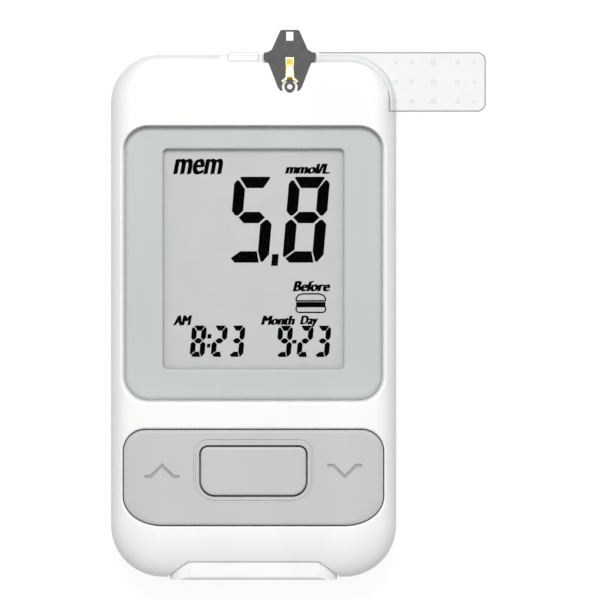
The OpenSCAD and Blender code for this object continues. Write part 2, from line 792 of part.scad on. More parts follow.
module display_window() {
    color("white", 0.3) slab(view_outline(window_lap), window_z, window_z + window_t);
}

module display_gasket() {
    color("dimgray") difference() {
        slab(view_outline(window_lap), gasket_z, window_z);
        slab(view_outline(fit_gap), gasket_z - cut, window_z + cut);
    }
}

// Two glass plates; the front one leaves the contact edges of the rear one bare
module lcd_panel() {
    rear_glass_t = lcd_t / 2;
    edge = zebra_w / 4;
    color("silver") {
        slab(view_outline(lcd_lap), lcd_z, lcd_z + rear_glass_t);
        intersection() {
            slab(view_outline(lcd_lap - fit_gap), lcd_z + rear_glass_t - seam, gasket_z);
            block(
                [-view_w, view_y0 - lcd_lap + edge, lcd_z],
                [view_w, view_y1 + lcd_lap - edge, gasket_z + cut]
            );
        }
    }
}

// Open tray between the contact strips, and the frame round the glass that stands on the board
holder_gap = 0.4;
tray_y0 = view_y0 - lcd_lap + zebra_w + holder_gap;
tray_y1 = view_y1 + lcd_lap - zebra_w - holder_gap;
module lcd_holder() {
    tray_t = 0.8;
    color("whitesmoke") {
        difference() {
            slab(view_outline(lcd_lap + fit_gap + holder_wall), board_top, gasket_z - 0.2);
            slab(view_outline(lcd_lap + fit_gap), board_top - cut, gasket_z + cut);
        }
        block(
            [-view_w / 2 - lcd_lap - fit_gap - seam, tray_y0, diffuser_z - tray_t],
            [view_w / 2 + lcd_lap + fit_gap + seam, tray_y1, diffuser_z]
        );
    }
}

module lcd_diffuser() {
    color("white") block(
        [-view_w / 2 - lcd_lap, tray_y0, diffuser_z],
        [view_w / 2 + lcd_lap, tray_y1, lcd_z]
    );
}

module zebra_strips() {
    half = view_w / 2 - 1.2;
    color("darkgray") {
        block([-half, view_y0 - lcd_lap, board_top], [half, view_y0 - lcd_lap + zebra_w, lcd_z]);
        block([-half, view_y1 + lcd_lap - zebra_w, board_top], [half, view_y1 + lcd_lap, lcd_z]);
    }
}

// Circuit board ------------------------------------------------------------------------------

board_gap = 0.6;
board_y0 = rocker_y0 + 1;
board_y1 = body_l / 2 - wall_t - board_gap - 0.3;
module main_board() {
    color("darkgreen") difference() {
        intersection() {
            slab(body_outline(wall_t + board_gap), board_z, board_top);
            block([-body_w / 2, board_y0, board_z - cut], [body_w / 2, board_y1, board_top + cut]);
        }
        for (p = screw_places)
            translate([p[0], p[1], board_z - cut])
                cylinder(r = boss_r + 2 * slide_gap, h = board_t + 2 * cut);
        for (p = board_screw_places)
            translate([p[0], p[1], board_z - cut])
                cylinder(r = board_screw_r + thread_gap, h = board_t + 2 * cut);
    }
}

// Chip or part that hangs under the board, given by its centre and its size
module hanging_chip(at, size) {
    translate([at[0] - size[0] / 2, at[1] - size[1] / 2, board_z - size[2]]) cube(size);
}

module microcontroller() {
    at = [view_w * 0.275, view_y0 + view_l * 0.71];
    side = mcu_side;
    lead = [0.03, 0.09, 0.04] * mcu_side;
    lead_pitch = 0.08 * mcu_side;
    leads = 10;
    color("black") hanging_chip(at, [side, side, mcu_h]);
    color("silver") for (turn = [0:90:270]) translate([at[0], at[1], 0]) rotate([0, 0, turn])
        for (i = [0:leads - 1])
            hanging_chip([(i - (leads - 1) / 2) * lead_pitch, side / 2 + lead[1] / 2 - seam], lead);
}

module radio_module() {
    at = [screw_x - boss_r - radio_w / 2, screw_y - 2 * boss_r - radio_l / 2];
    color("silver") hanging_chip(at, [radio_w, radio_l, radio_h]);
}

module board_components() {
    chip = [0.5, 0.4, 0.12] * mcu_side;
    small = [0.16, 0.09, 0.07] * mcu_side;
    small_pitch = 0.24 * mcu_side;
    small_rows = 5;
    small_y = view_y0 + view_l * 0.46;
    color("black") {
        hanging_chip([view_w * 0.1, view_y0 + view_l], chip);
        hanging_chip([-view_w * 0.36, view_y0 + view_l * 0.44], chip);
    }
    color("tan") for (x = [-view_w * 0.15, -view_w * 0.06], i = [0:small_rows - 1])
        hanging_chip([x, small_y + i * small_pitch], small);
}

module piezo_buzzer() {
    port_r = 1;
    at = [-view_w * 0.38, view_y0 + view_l * 0.79];
    color("black") translate([at[0], at[1], board_z - buzzer_h]) difference() {
        cylinder(d = buzzer_d, h = buzzer_h);
        translate([0, 0, -cut]) cylinder(r = port_r, h = cut + 0.8);
    }
}

// Square switch bodies under the centre key and under both ends of the rocker
switch_places = [[0, key_y], [-arrow_x, arrow_y], [arrow_x, arrow_y]];
module key_switches() {
    color("dimgray") for (p = switch_places) difference() {
        block(
            [p[0] - switch_w / 2, p[1] - switch_w / 2, board_top],
            [p[0] + switch_w / 2, p[1] + switch_w / 2, board_top + switch_h]
        );
        translate([p[0], p[1], board_top + switch_floor])
            cylinder(r = plunger_r + slide_gap, h = switch_h);
    }
}

module switch_domes() {
    color("silver") for (p = switch_places)
        translate([p[0], p[1], board_top + switch_floor])
            cylinder(r1 = plunger_r, r2 = plunger_r / 2, h = dome_h);
}

// Plungers that reach into the switches and meet the stems of the keys
stem_z = guide_z;
module switch_plunger(p) {
    translate([p[0], p[1], plunger_z]) cylinder(r = plunger_r, h = stem_z - plunger_z);
}
module centre_switch_plunger() {
    color("gray") switch_plunger(switch_places[0]);
}
module side_switch_plungers() {
    color("gray") {
        switch_plunger(switch_places[1]);
        switch_plunger(switch_places[2]);
    }
}

// Keys ---------------------------------------------------------------------------------------

rocker_roll_h = 0.55;
rocker_side_roll = 3.2;
rocker_end_roll = 0.6;
lug_t = 1.2;
lug_w = 3.2;

// Engraved arrow mark with flat feet, pointing to the display when dir is 1 and away when -1
arrow_rise = 2.04;
arrow_spread = 2.08;
arrow_foot = 1.08;
module arrow_mark(x, dir) {
    half = arrow_line / 2;
    slope = atan2(arrow_rise, arrow_spread);
    knee = half * tan(slope / 2);
    peak = half / cos(slope);
    foot = -arrow_rise / 2;
    outer = arrow_spread + arrow_foot;
    back = arrow_spread + knee;
    front = arrow_spread - knee;
    points = [
        [-outer, half], [-back, half], [0, arrow_rise + peak], [back, half], [outer, half],
        [outer, -half], [front, -half], [0, arrow_rise - peak], [-front, -half], [-outer, -half]
    ];
    translate([x, arrow_y, rocker_top - arrow_depth]) linear_extrude(height = arrow_depth + cut)
        polygon([for (p = points) [p[0], dir * (p[1] + foot)]]);
}

// Shallow groove round the centre key's opening
module key_groove() {
    floor_half = groove_w / 6;
    low = rocker_top - groove_depth;
    difference() {
        loft(
            [key_outline(groove_gap + floor_half), key_outline(groove_gap + groove_w / 2)],
            [low, rocker_top + seam]
        );
        loft(
            [for (g = [floor_half, floor_half, groove_w / 2]) key_outline(groove_gap - g)],
            [low - cut, low, rocker_top + 2 * seam]
        );
    }
}

module rocker_key() {
    angles = [for (i = [0:key_roll_steps]) 90 * i / key_roll_steps];
    color("lightgray") difference() {
        union() {
            loft(
                concat([rocker_outline(0, 0, 0)], [
                    for (a = angles) let (s = 1 - cos(a))
                        rocker_outline(0, rocker_side_roll * s, rocker_end_roll * s)
                ]),
                concat([rocker_z], [for (a = angles) rocker_top - rocker_roll_h * (1 - sin(a))])
            );
            for (y = [rocker_y0 + fit_gap, rocker_y1 - fit_gap - lug_t])
                block([-lug_w / 2, y, pivot_h - pivot_r - 0.4], [lug_w / 2, y + lug_t, rocker_z + seam]);
            translate([0, rocker_y0 + fit_gap + seam, pivot_h]) rotate([90, 0, 0])
                cylinder(r = pivot_r, h = pivot_l + rocker_gap);
            translate([0, rocker_y1 - fit_gap - seam, pivot_h]) rotate([-90, 0, 0])
                cylinder(r = pivot_r, h = pivot_l + rocker_gap);
            for (p = [switch_places[1], switch_places[2]])
                translate([p[0], p[1], stem_z]) cylinder(r = key_stem_r, h = rocker_z + seam - stem_z);
        }
        slab(key_outline(key_gap), rocker_z - cut, rocker_top + cut);
        key_groove();
        arrow_mark(-arrow_x, 1);
        arrow_mark(arrow_x, -1);
    }
}

module centre_key() {
    angles = [for (i = [0:key_roll_steps]) 90 * i / key_roll_steps];
    key_top = rocker_top + 0.1;
    edge_roll = 0.5;
    edge_roll_h = 0.3;
    flange_gap = 0.45;
    flange_t = 1;
    flange_top = rocker_z - flange_gap - (key_w / 2 + key_flange) * sin(rocker_tilt);
    flange_z = flange_top - flange_t;
    color("lightgray") {
        loft(
            concat([key_outline(0)], [for (a = angles) key_outline(-edge_roll * (1 - cos(a)))]),
            concat([flange_top - seam], [for (a = angles) key_top - edge_roll_h * (1 - sin(a))])
        );
        slab(key_outline(key_flange), flange_z, flange_top);
        translate([0, key_y, stem_z]) cylinder(r = key_stem_r, h = flange_z + seam - stem_z);
    }
}

// Test strip and its connector ---------------------------------------------------------------

module strip_connector() {
    color("black") block(
        [strip_x - connector_w / 2, connector_y0, board_top],
        [strip_x + connector_w / 2, connector_y1, connector_top]
    );
}

// Spring leaves that lie on the connector and rise through the floor of the well
module strip_contacts() {
    tip_z = carrier_top - 0.03 - leaf_t;
    path = [
        [connector_y0 + 0.5, connector_top],
        [contact_channel_y0, connector_top],
        [contact_slot_y1 - 0.9, tip_z],
        [contact_slot_y1 - 0.3, tip_z - 0.4]
    ];
    color("gold") for (x = contact_xs)
        translate([x - contact_w / 2, 0, 0]) rotate([90, 0, 90]) linear_extrude(height = contact_w)
            polygon(concat(path, [for (i = [len(path) - 1:-1:0]) [path[i][0], path[i][1] + leaf_t]]));
}

// Clear carrier: a bar across the strip end that widens into the tab at the side
module strip_carrier() {
    cx = body_w / 2 - top_corner_r;
    cy = body_l / 2 - top_corner_r;
    inner_r = top_corner_r - ledge_w + 1.5 * slide_gap;
    bar_x0 = ledge_start_x + 0.65;
    chamfer = 0.5;
    score_x = strip_x - strip_w / 2 - 0.8;
    score_w = 0.15;
    score_depth = 0.1;
    bump_h = 0.15;
    bump_shares = [-0.01, 0.17, 0.41, 0.68, 0.87];
    bump_rs = [0.4, 0.5, 0.7, 0.5, 0.4];
    bump_rows = 3;
    bump_pitch = tab_w * 0.324;
    color("white", 0.4) {
        difference() {
            translate([0, 0, carrier_z]) linear_extrude(height = carrier_t) polygon(concat(
                [
                    [bar_x0 + chamfer, tab_y1],
                    [bar_x0, tab_y1 - chamfer],
                    [bar_x0, bar_y0 + chamfer / 2],
                    [bar_x0 + chamfer / 2, bar_y0]
                ],
                [for (i = [arc_steps:-1:0]) let (a = 90 * i / arc_steps)
                    [cx + inner_r * cos(a), cy + inner_r * sin(a)]],
                [[cx + inner_r, tab_y0]],
                corner_points(tab_reach - tab_r, tab_y0 + tab_r, tab_r, tab_r, 270),
                corner_points(tab_reach - tab_r, tab_y1 - tab_r, tab_r, tab_r, 0)
            ));
            block(
                [score_x, bar_y0 - cut, carrier_top - score_depth],
                [score_x + score_w, tab_y1 + cut, carrier_top + cut]
            );
        }
        for (row = [0:bump_rows - 1], i = [0:len(bump_shares) - 1])
            translate([
                body_w / 2 + tab_out * bump_shares[i],
                (tab_y0 + tab_y1) / 2 + (row - 1) * bump_pitch,
                carrier_top - seam
            ]) cylinder(r1 = bump_rs[i], r2 = bump_rs[i] * 0.6, h = bump_h + seam);
    }
}

// Dark plate of the strip, laid on the carrier's bar: its inner end is a fork round a ring that
// hangs on a narrow neck
track_sink = 0.15;
module strip_plate() {
    neck_w = 1.2;
    window_w = 1.3;
    window_l = 1.63;
    window_bar = 0.33;
    below = carrier_top - cut;
    color("dimgray") difference() {
        union() {
            slab(mirrored(strip_half(0)), carrier_top, strip_top);
            translate([strip_x, ring_y, carrier_top]) cylinder(r = ring_r, h = strip_t);
        }
        difference() {
            union() {
                translate([strip_x, ring_y, below]) cylinder(r = fork_r, h = strip_t + 2 * cut);
                block(
                    [strip_x - prong_x, strip_y0 - 2 * cut, below],
                    [strip_x + prong_x, ring_y, strip_top + cut]
                );
            }
            translate([strip_x, ring_y, below - cut]) cylinder(r = ring_r, h = strip_t + 4 * cut);
            block(
                [strip_x - neck_w / 2, ring_y, below - cut],
                [strip_x + neck_w / 2, ring_y + fork_r + cut, strip_top + 2 * cut]
            );
        }
        translate([strip_x, ring_y, below]) cylinder(r = ring_r / 2, h = strip_t + 2 * cut);
        block(
            [strip_x - window_w / 2, strip_y1 - window_bar - window_l, below],
            [strip_x + window_w / 2, strip_y1 - window_bar, strip_top + cut]
        );
        translate([0, 0, strip_top - track_sink]) linear_extrude(height = track_sink + cut) track_plan();
    }
}

module strip_gold_track() {
    color("gold") translate([0, 0, strip_top - track_sink])
        linear_extrude(height = track_t) track_plan();
}

// Batteries ----------------------------------------------------------------------------------

module coin_cell(y) {
    cap_step = 1.2;
    cap_h = 0.3;
    translate([0, y, cell_z]) {
        cylinder(r = cell_r, h = cell_t - cap_h);
        cylinder(r = cell_r - cap_step, h = cell_t);
    }
}
module coin_cell_upper() {
    color("silver") coin_cell(cell_high_y);
}
module coin_cell_lower() {
    color("silver") coin_cell(cell_low_y);
}

// Bent leaf above each cell, with a tab that runs up to the board
module cell_spring_contacts() {
    top = cup_ceiling;
    touch = cell_z + cell_t;
    color("gold") for (y = cell_places)
        translate([-contact_strip_w / 2, y, 0]) rotate([90, 0, 90]) linear_extrude(height = contact_strip_w)
            polygon([
                [-spring_root, board_z],
                [-spring_root, top - leaf_t],
                [-spring_root + 1.5, top - leaf_t],
                [2, touch],
                [5, touch + leaf_t],
                [5, touch + 2 * leaf_t],
                [2, touch + leaf_t],
                [-spring_root + 1.5, top],
                [-spring_root + leaf_t, top],
                [-spring_root + leaf_t, board_z]
            ]);
}

// Upright strips that touch the rim of each cell
module cell_rim_contacts() {
    color("gold") for (y = cell_places)
        block(
            [cell_r, y - contact_strip_w / 2, floor_t + bay_plate_t + fit_gap],
            [cell_r + leaf_t, y + contact_strip_w / 2, board_z]
        );
}

// Screws -------------------------------------------------------------------------------------

// Cross-recessed screw with its head downwards, seated at the height of its head's upper face
module screw(p, seat, shank_r, head, shank_l) {
    recess_w = head / 3;
    difference() {
        translate([p[0], p[1], seat - head_h]) union() {
            cylinder(r = head, h = head_h);
            cylinder(r = shank_r, h = head_h + shank_l);
        }
        for (turn = [0, 90])
            translate([p[0], p[1], seat - head_h]) rotate([0, 0, turn])
                cube([head * 1.3, recess_w, head_h], center = true);
    }
}

module case_screws() {
    color("silver") for (p = screw_places)
        screw(p, head_seat_z, screw_r, head_r, split_h - head_seat_z + screw_reach - 0.3);
}

// Board screws are the other way up, with their heads on the board
module board_screws() {
    length = 4;
    color("silver") for (p = board_screw_places)
        translate([0, 0, 2 * board_top]) mirror([0, 0, 1])
            screw(p, board_top, board_screw_r, board_head_r, length);
}

front_shell();
rear_shell();
battery_door();
display_bezel();
display_window();
display_gasket();
lcd_panel();
lcd_diffuser();
lcd_holder();
zebra_strips();
main_board();
microcontroller();
radio_module();
board_components();
piezo_buzzer();
key_switches();
switch_domes();
centre_switch_plunger();
side_switch_plungers();
rocker_key();
centre_key();
strip_connector();
strip_contacts();
coin_cell_upper();
coin_cell_lower();
cell_spring_contacts();
cell_rim_contacts();
case_screws();
board_screws();
strip_carrier();
strip_plate();
strip_gold_track();
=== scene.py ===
"""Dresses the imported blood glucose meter: smooth casings, keys, display contents, strip and studio."""

import json
import logging
import math
from collections.abc import Callable, Iterator, Sequence
from contextlib import contextmanager
from dataclasses import dataclass, field
from enum import Enum
from functools import cache

import bpy
from mathutils import Matrix, Vector


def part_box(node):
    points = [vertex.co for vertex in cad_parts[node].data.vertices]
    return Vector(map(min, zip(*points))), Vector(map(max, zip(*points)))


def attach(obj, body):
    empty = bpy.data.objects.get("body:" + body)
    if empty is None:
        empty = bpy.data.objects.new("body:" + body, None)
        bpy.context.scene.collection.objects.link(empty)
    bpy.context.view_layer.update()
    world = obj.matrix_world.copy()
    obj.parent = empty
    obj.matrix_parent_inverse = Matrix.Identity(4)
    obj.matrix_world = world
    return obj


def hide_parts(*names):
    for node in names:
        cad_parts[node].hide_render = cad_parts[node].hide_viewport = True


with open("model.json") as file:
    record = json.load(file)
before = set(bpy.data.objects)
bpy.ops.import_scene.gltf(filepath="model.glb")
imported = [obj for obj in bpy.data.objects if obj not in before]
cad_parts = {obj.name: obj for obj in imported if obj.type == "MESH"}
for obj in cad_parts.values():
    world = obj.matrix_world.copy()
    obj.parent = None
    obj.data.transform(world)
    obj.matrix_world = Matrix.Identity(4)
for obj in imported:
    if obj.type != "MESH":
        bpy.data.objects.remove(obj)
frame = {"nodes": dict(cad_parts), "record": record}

log = logging.getLogger("glucose_meter")

MM = 0.001
WHITE = (1.0, 1.0, 1.0, 1.0)
Point = tuple[float, float]
Range = tuple[float, float]
Triple = tuple[float, float, float]
Colour = tuple[int, int, int]
Value = bpy.types.NodeSocket | float | Sequence[float]


# Finishes


def linear(colour: Colour) -> tuple[float, float, float, float]:
    """Turns a display colour into the linear colour that shaders use.

    Args:
        colour: Red, green and blue from 0 to 255.

    Returns:
        Linear red, green, blue and an alpha of 1.
    """
    shares = (channel / 255 for channel in colour)
    red, green, blue = (s / 12.92 if s <= 0.04045 else ((s + 0.055) / 1.055) ** 2.4 for s in shares)
    return red, green, blue, 1.0


def shifted(colour: Colour, step: int) -> Colour:
    """Makes a colour lighter or darker by an equal step on each channel."""
    red, green, blue = (min(max(channel + step, 0), 255) for channel in colour)
    return red, green, blue


class Nodes:
    """A node tree with short ways to add, link and calculate."""

    def __init__(self, tree: bpy.types.NodeTree) -> None:
        """Keeps the tree."""
        self.tree = tree

    def add(self, kind: str, *values: Value, **settings: object) -> bpy.types.Node:
        """Adds a node.

        Args:
            kind: Type of the node.
            values: Outputs or constants for its first inputs, in order.
            settings: Properties of the node.

        Returns:
            The node.
        """
        node = self.tree.nodes.new(kind)
        for key, value in settings.items():
            setattr(node, key, value)
        for socket, value in zip(node.inputs, values):
            if isinstance(value, bpy.types.NodeSocket):
                self.join(value, socket)
            else:
                socket.default_value = value
        return node

    def join(self, start: bpy.types.NodeSocket, end: bpy.types.NodeSocket) -> None:
        """Links an output to an input."""
        self.tree.links.new(start, end)

    def maths(self, operation: str, *values: Value) -> bpy.types.NodeSocket:
        """Calculates with outputs and constants, in order."""
        return self.add("ShaderNodeMath", *values, operation=operation).outputs[0]

    def span(self, value: Value, low: Value, high: Value, start: float = 0.3, end: float = 0.7) -> bpy.types.NodeSocket:
        """Maps a value from one range to another, and holds it at the ends.

        Args:
            value: The value to map.
            low: Result at the start.
            high: Result at the end.
            start: Value that gives low.
            end: Value that gives high.

        Returns:
            The mapped value.
        """
        return self.add("ShaderNodeMapRange", value, start, end, low, high).outputs[0]

    def seen_directly(self) -> bpy.types.NodeSocket:
        """Gives 1 for camera, glossy and transmission rays and 0 for the rest.

        Returns:
            The value.
        """
        path = self.add("ShaderNodeLightPath")
        seen = path.outputs["Is Camera Ray"]
        for ray in ("Is Glossy Ray", "Is Transmission Ray"):
            seen = self.maths("MAXIMUM", seen, path.outputs[ray])
        return seen


class Recipe(Nodes):
    """The node tree of one material, started from its Principled shader."""

    def __init__(self, name: str) -> None:
        """Makes a material with a Principled shader and object coordinates.

        Args:
            name: Name of the material.
        """
        self.material = bpy.data.materials.new(name)
        self.material.use_nodes = True
        super().__init__(self.material.node_tree)
        self.shader = self.tree.nodes["Principled BSDF"]
        self.place = self.add("ShaderNodeTexCoord").outputs["Object"]

    def fixed(self, **values: float) -> None:
        """Sets constant values on the shader's own sockets; underscores stand for spaces."""
        for key, value in values.items():
            self.shader.inputs[key.replace("_", " ")].default_value = value

    def stretched(self, scale: Triple, centre: Triple = (0, 0, 0)) -> bpy.types.NodeSocket:
        """Measures object coordinates from a centre and stretches them.

        Args:
            scale: Factor along each axis.
            centre: Point in metres that becomes the pattern's origin.

        Returns:
            The mapped coordinates.
        """
        start = [-c * s for c, s in zip(centre, scale)]
        return self.add("ShaderNodeMapping", self.place, start, (0, 0, 0), scale, vector_type="POINT").outputs[0]

    def grain(self, size: float, detail: float = 2.0,
              place: bpy.types.NodeSocket | None = None) -> bpy.types.NodeSocket:
        """Adds noise whose spots are about as wide as a given size.

        Args:
            size: Width of a spot in metres.
            detail: Octaves of finer noise.
            place: Coordinates to read, or None for plain object coordinates.

        Returns:
            The noise from 0 to 1.
        """
        return self.add("ShaderNodeTexNoise", place or self.place, 0, 1 / size, detail).outputs[0]

    def blend(self, value: bpy.types.NodeSocket, stops: Sequence[tuple[float, Colour]]) -> None:
        """Colours the surface by a value, through a ramp.

        Args:
            value: The value, from 0 to 1.
            stops: Values and the colours that they give.
        """
        node = self.add("ShaderNodeValToRGB", value)
        elements = node.color_ramp.elements
        while len(elements) < len(stops):
            elements.new(0.5)
        for element, (position, colour) in zip(elements, stops):
            element.position = position
            element.color = linear(colour)
        self.join(node.outputs[0], self.shader.inputs["Base Color"])

    def colour(self, value: bpy.types.NodeSocket, low: Colour, high: Colour) -> None:
        """Colours the surface between two colours by a value."""
        self.blend(value, [(0.3, low), (0.7, high)])

    def roughen(self, value: bpy.types.NodeSocket, low: float, high: float) -> None:
        """Varies the roughness between two values."""
        self.join(self.span(value, low, high), self.shader.inputs["Roughness"])

    def relief(self, height: bpy.types.NodeSocket, depth: float, strength: float) -> None:
        """Makes the surface rise and fall with a height.

        Args:
            height: Height from 0 to 1.
            depth: Depth in metres at full height.
            strength: Share of the effect.
        """
        bump = self.add("ShaderNodeBump", strength, depth)
        self.join(height, bump.inputs["Height"])
        self.join(bump.outputs["Normal"], self.shader.inputs["Normal"])


@dataclass(frozen=True)
class MouldedPlastic:
    """Moulded plastic with a spark-eroded grain, faint flow marks and fingers' polish."""

    name: str
    colour: Colour
    mottle: int = 2
    roughness: Range = (0.36, 0.44)
    grain_size: float = 0.2 * MM
    grain_depth: float = 0.006 * MM
    grain_strength: float = 0.3
    polish_centre: Triple | None = None
    polish_reach: float = 12 * MM
    polish_gain: float = 0.08
    flow_size: float = 9 * MM
    flow_stretch: Triple = (1, 0.35, 1)
    wear_size: float = 3 * MM

    def material(self) -> bpy.types.Material:
        """Builds the material.

        Returns:
            The material.
        """
        recipe = Recipe(self.name)
        recipe.fixed(IOR=1.5)
        flow = recipe.grain(self.flow_size, 3.0, recipe.stretched(self.flow_stretch))
        recipe.colour(flow, shifted(self.colour, -self.mottle), shifted(self.colour, self.mottle))
        if self.polish_centre is None:
            recipe.roughen(recipe.grain(self.wear_size, 3.0), *self.roughness)
        else:
            near = recipe.stretched((1 / self.polish_reach,) * 3, self.polish_centre)
            ball = recipe.add("ShaderNodeTexGradient", near, gradient_type="SPHERICAL")
            polished = self.roughness[0] - self.polish_gain
            wear_and_painted_shade = recipe.span(ball.outputs[1], self.roughness[1], polished, 0.0, 1.0)
            recipe.join(wear_and_painted_shade, recipe.shader.inputs["Roughness"])
        recipe.relief(recipe.grain(self.grain_size, 2.0), self.grain_depth, self.grain_strength)
        return recipe.material


@dataclass(frozen=True)
class ClearPlastic:
    """Thin clear plastic that shows what lies behind it, with faint haze and scuffs."""

    name: str
    tint: Colour
    alpha: float
    roughness: float = 0.12
    haze: Range = (0.7, 1.5)
    cloud_size: float = 4 * MM
    cloud_step: int = 4
    scuff_size: float = 0.6 * MM
    scuff_stretch: Triple = (1, 6, 1)
    ripple_size: float = 1.5 * MM
    ripple_depth: float = 0.004 * MM

    def material(self) -> bpy.types.Material:
        """Builds the material.

        Returns:
            The material.
        """
        recipe = Recipe(self.name)
        recipe.fixed(IOR=1.49, Alpha=self.alpha)
        recipe.colour(recipe.grain(self.cloud_size, 2.0), self.tint, shifted(self.tint, self.cloud_step))
        scuffs = recipe.grain(self.scuff_size, 4.0, recipe.stretched(self.scuff_stretch))
        recipe.roughen(scuffs, *(self.roughness * share for share in self.haze))
        recipe.relief(recipe.grain(self.ripple_size, 1.0), self.ripple_depth, 0.15)
        return recipe.material


@dataclass(frozen=True)
class PlatedMetal:
    """Plated metal with fine rolling lines."""

    name: str
    low: Colour
    high: Colour
    roughness: Range = (0.22, 0.36)
    stretch: Triple = (1, 14, 1)
    line_size: float = 0.35 * MM
    line_depth: float = 0.003 * MM

    def material(self) -> bpy.types.Material:
        """Builds the material.

        Returns:
            The material.
        """
        recipe = Recipe(self.name)
        recipe.fixed(Metallic=1.0)
        lines = recipe.grain(self.line_size, 3.0, recipe.stretched(self.stretch))
        recipe.colour(lines, self.low, self.high)
        recipe.roughen(lines, *self.roughness)
        recipe.relief(lines, self.line_depth, 0.25)
        return recipe.material


@dataclass(frozen=True)
class GoldTrack:
    """Gold film on the strip, in soft bands along it: a dark band of painted shade by the ring, a pale band of painted
    highlight in the stem, gold, and a pale band of painted highlight again.

    The bands run in Y from start to end. Off the neck, whose middle and half width are in X, they lie nearer the
    ring by the share of shift.
    """

    name: str
    # The first colour is painted shade and the last is painted highlight; only the middle one is the gold's own colour.
    wear_and_painted_shade: Colour
    gold: Colour
    pale: Colour
    start: float
    end: float
    middle: float
    neck: float
    shift: float = 0.3
    neck_edge: Range = (0.8, 1.2)
    roughness: Range = (0.25, 0.42)
    line_size: float = 0.3 * MM
    line_stretch: Triple = (6, 1, 1)
    line_depth: float = 0.003 * MM

    def material(self) -> bpy.types.Material:
        """Builds the material.

        Returns:
            The material.
        """
        recipe = Recipe(self.name)
        recipe.fixed(Metallic=1.0)
        across, along, _ = recipe.add("ShaderNodeSeparateXYZ", recipe.place).outputs
        aside = recipe.maths("ABSOLUTE", recipe.maths("SUBTRACT", across, self.middle))
        off_neck = recipe.span(aside, 0.0, self.shift, *(self.neck * share for share in self.neck_edge))
        band = recipe.maths("ADD", recipe.span(along, 0.0, 1.0, self.start, self.end), off_neck)
        # The dark band is painted shade and the pale bands are painted highlights, set into the metal's base colour.
        recipe.blend(band, [(0.0, self.gold), (0.1, self.wear_and_painted_shade), (0.2, self.wear_and_painted_shade), (0.3, self.pale), (0.6, self.pale),
                            (0.7, self.gold), (0.84, self.gold), (1.0, self.pale)])
        lines = recipe.grain(self.line_size, 3.0, recipe.stretched(self.line_stretch))
        recipe.roughen(lines, *self.roughness)
        recipe.relief(lines, self.line_depth, 0.25)
        return recipe.material


@dataclass(frozen=True)
class LiquidCrystal:
    """Grey reflective display glass with a matt front film and faint clouds."""

    name: str
    colour: Colour
    cloud_size: float = 7 * MM
    cloud_step: int = 3
    haze_size: float = 0.9 * MM
    roughness: Range = (0.3, 0.4)
    film_grain: float = 0.12 * MM
    film_depth: float = 0.002 * MM

    def material(self) -> bpy.types.Material:
        """Builds the material.

        Returns:
            The material.
        """
        recipe = Recipe(self.name)
        recipe.fixed(IOR=1.5)
        recipe.colour(recipe.grain(self.cloud_size, 2.0), self.colour, shifted(self.colour, self.cloud_step))
        recipe.roughen(recipe.grain(self.haze_size, 3.0), *self.roughness)
        recipe.relief(recipe.grain(self.film_grain, 1.0), self.film_depth, 0.15)
        return recipe.material


@dataclass(frozen=True)
class Ink:
    """Opaque dark segment or printed colour with slight unevenness."""

    name: str
    colour: Colour
    mottle: int = 4
    roughness: Range = (0.4, 0.5)
    gloss: float = 0.5
    spot_size: float = 0.5 * MM
    sheen_size: float = 1.2 * MM
    grain_size: float = 0.1 * MM
    grain_depth: float = 0.002 * MM

    def material(self) -> bpy.types.Material:
        """Builds the material.

        Returns:
            The material.
        """
        recipe = Recipe(self.name)
        recipe.fixed(IOR=1.45, Specular_IOR_Level=self.gloss)
        recipe.colour(recipe.grain(self.spot_size, 2.0), self.colour, shifted(self.colour, self.mottle))
        recipe.roughen(recipe.grain(self.sheen_size, 2.0), *self.roughness)
        recipe.relief(recipe.grain(self.grain_size, 1.0), self.grain_depth, 0.2)
        return recipe.material


@dataclass(frozen=True)
class Foam:
    """Dark closed-cell foam with small round cells."""

    name: str
    wall: Colour
    pore: Colour
    cell: float = 0.12 * MM
    cell_depth: float = 0.03 * MM
    roughness: Range = (0.8, 0.95)

    def material(self) -> bpy.types.Material:
        """Builds the material.

        Returns:
            The material.
        """
        recipe = Recipe(self.name)
        cells = recipe.add("ShaderNodeTexVoronoi", recipe.place)
        cells.inputs["Scale"].default_value = 1 / self.cell
        recipe.colour(cells.outputs[0], self.pore, self.wall)
        recipe.roughen(cells.outputs[0], *self.roughness)
        recipe.relief(cells.outputs[0], self.cell_depth, 0.6)
        return recipe.material


@dataclass(frozen=True)
class StripedRubber:
    """Silicone rubber with alternating conducting layers."""

    name: str
    dark: Colour
    pale: Colour
    pitch: float = 0.25 * MM
    wave_length: float = 0.314
    layer_depth: float = 0.01 * MM
    grain_size: float = 0.5 * MM
    roughness: Range = (0.55, 0.7)

    def material(self) -> bpy.types.Material:
        """Builds the material.

        Returns:
            The material.
        """
        recipe = Recipe(self.name)
        scale = self.wave_length / self.pitch
        bands = recipe.add("ShaderNodeTexWave", recipe.place, scale, wave_type="BANDS", bands_direction="X")
        recipe.colour(bands.outputs[1], self.dark, self.pale)
        recipe.roughen(recipe.grain(self.grain_size), *self.roughness)
        recipe.relief(bands.outputs[1], self.layer_depth, 0.3)
        return recipe.material


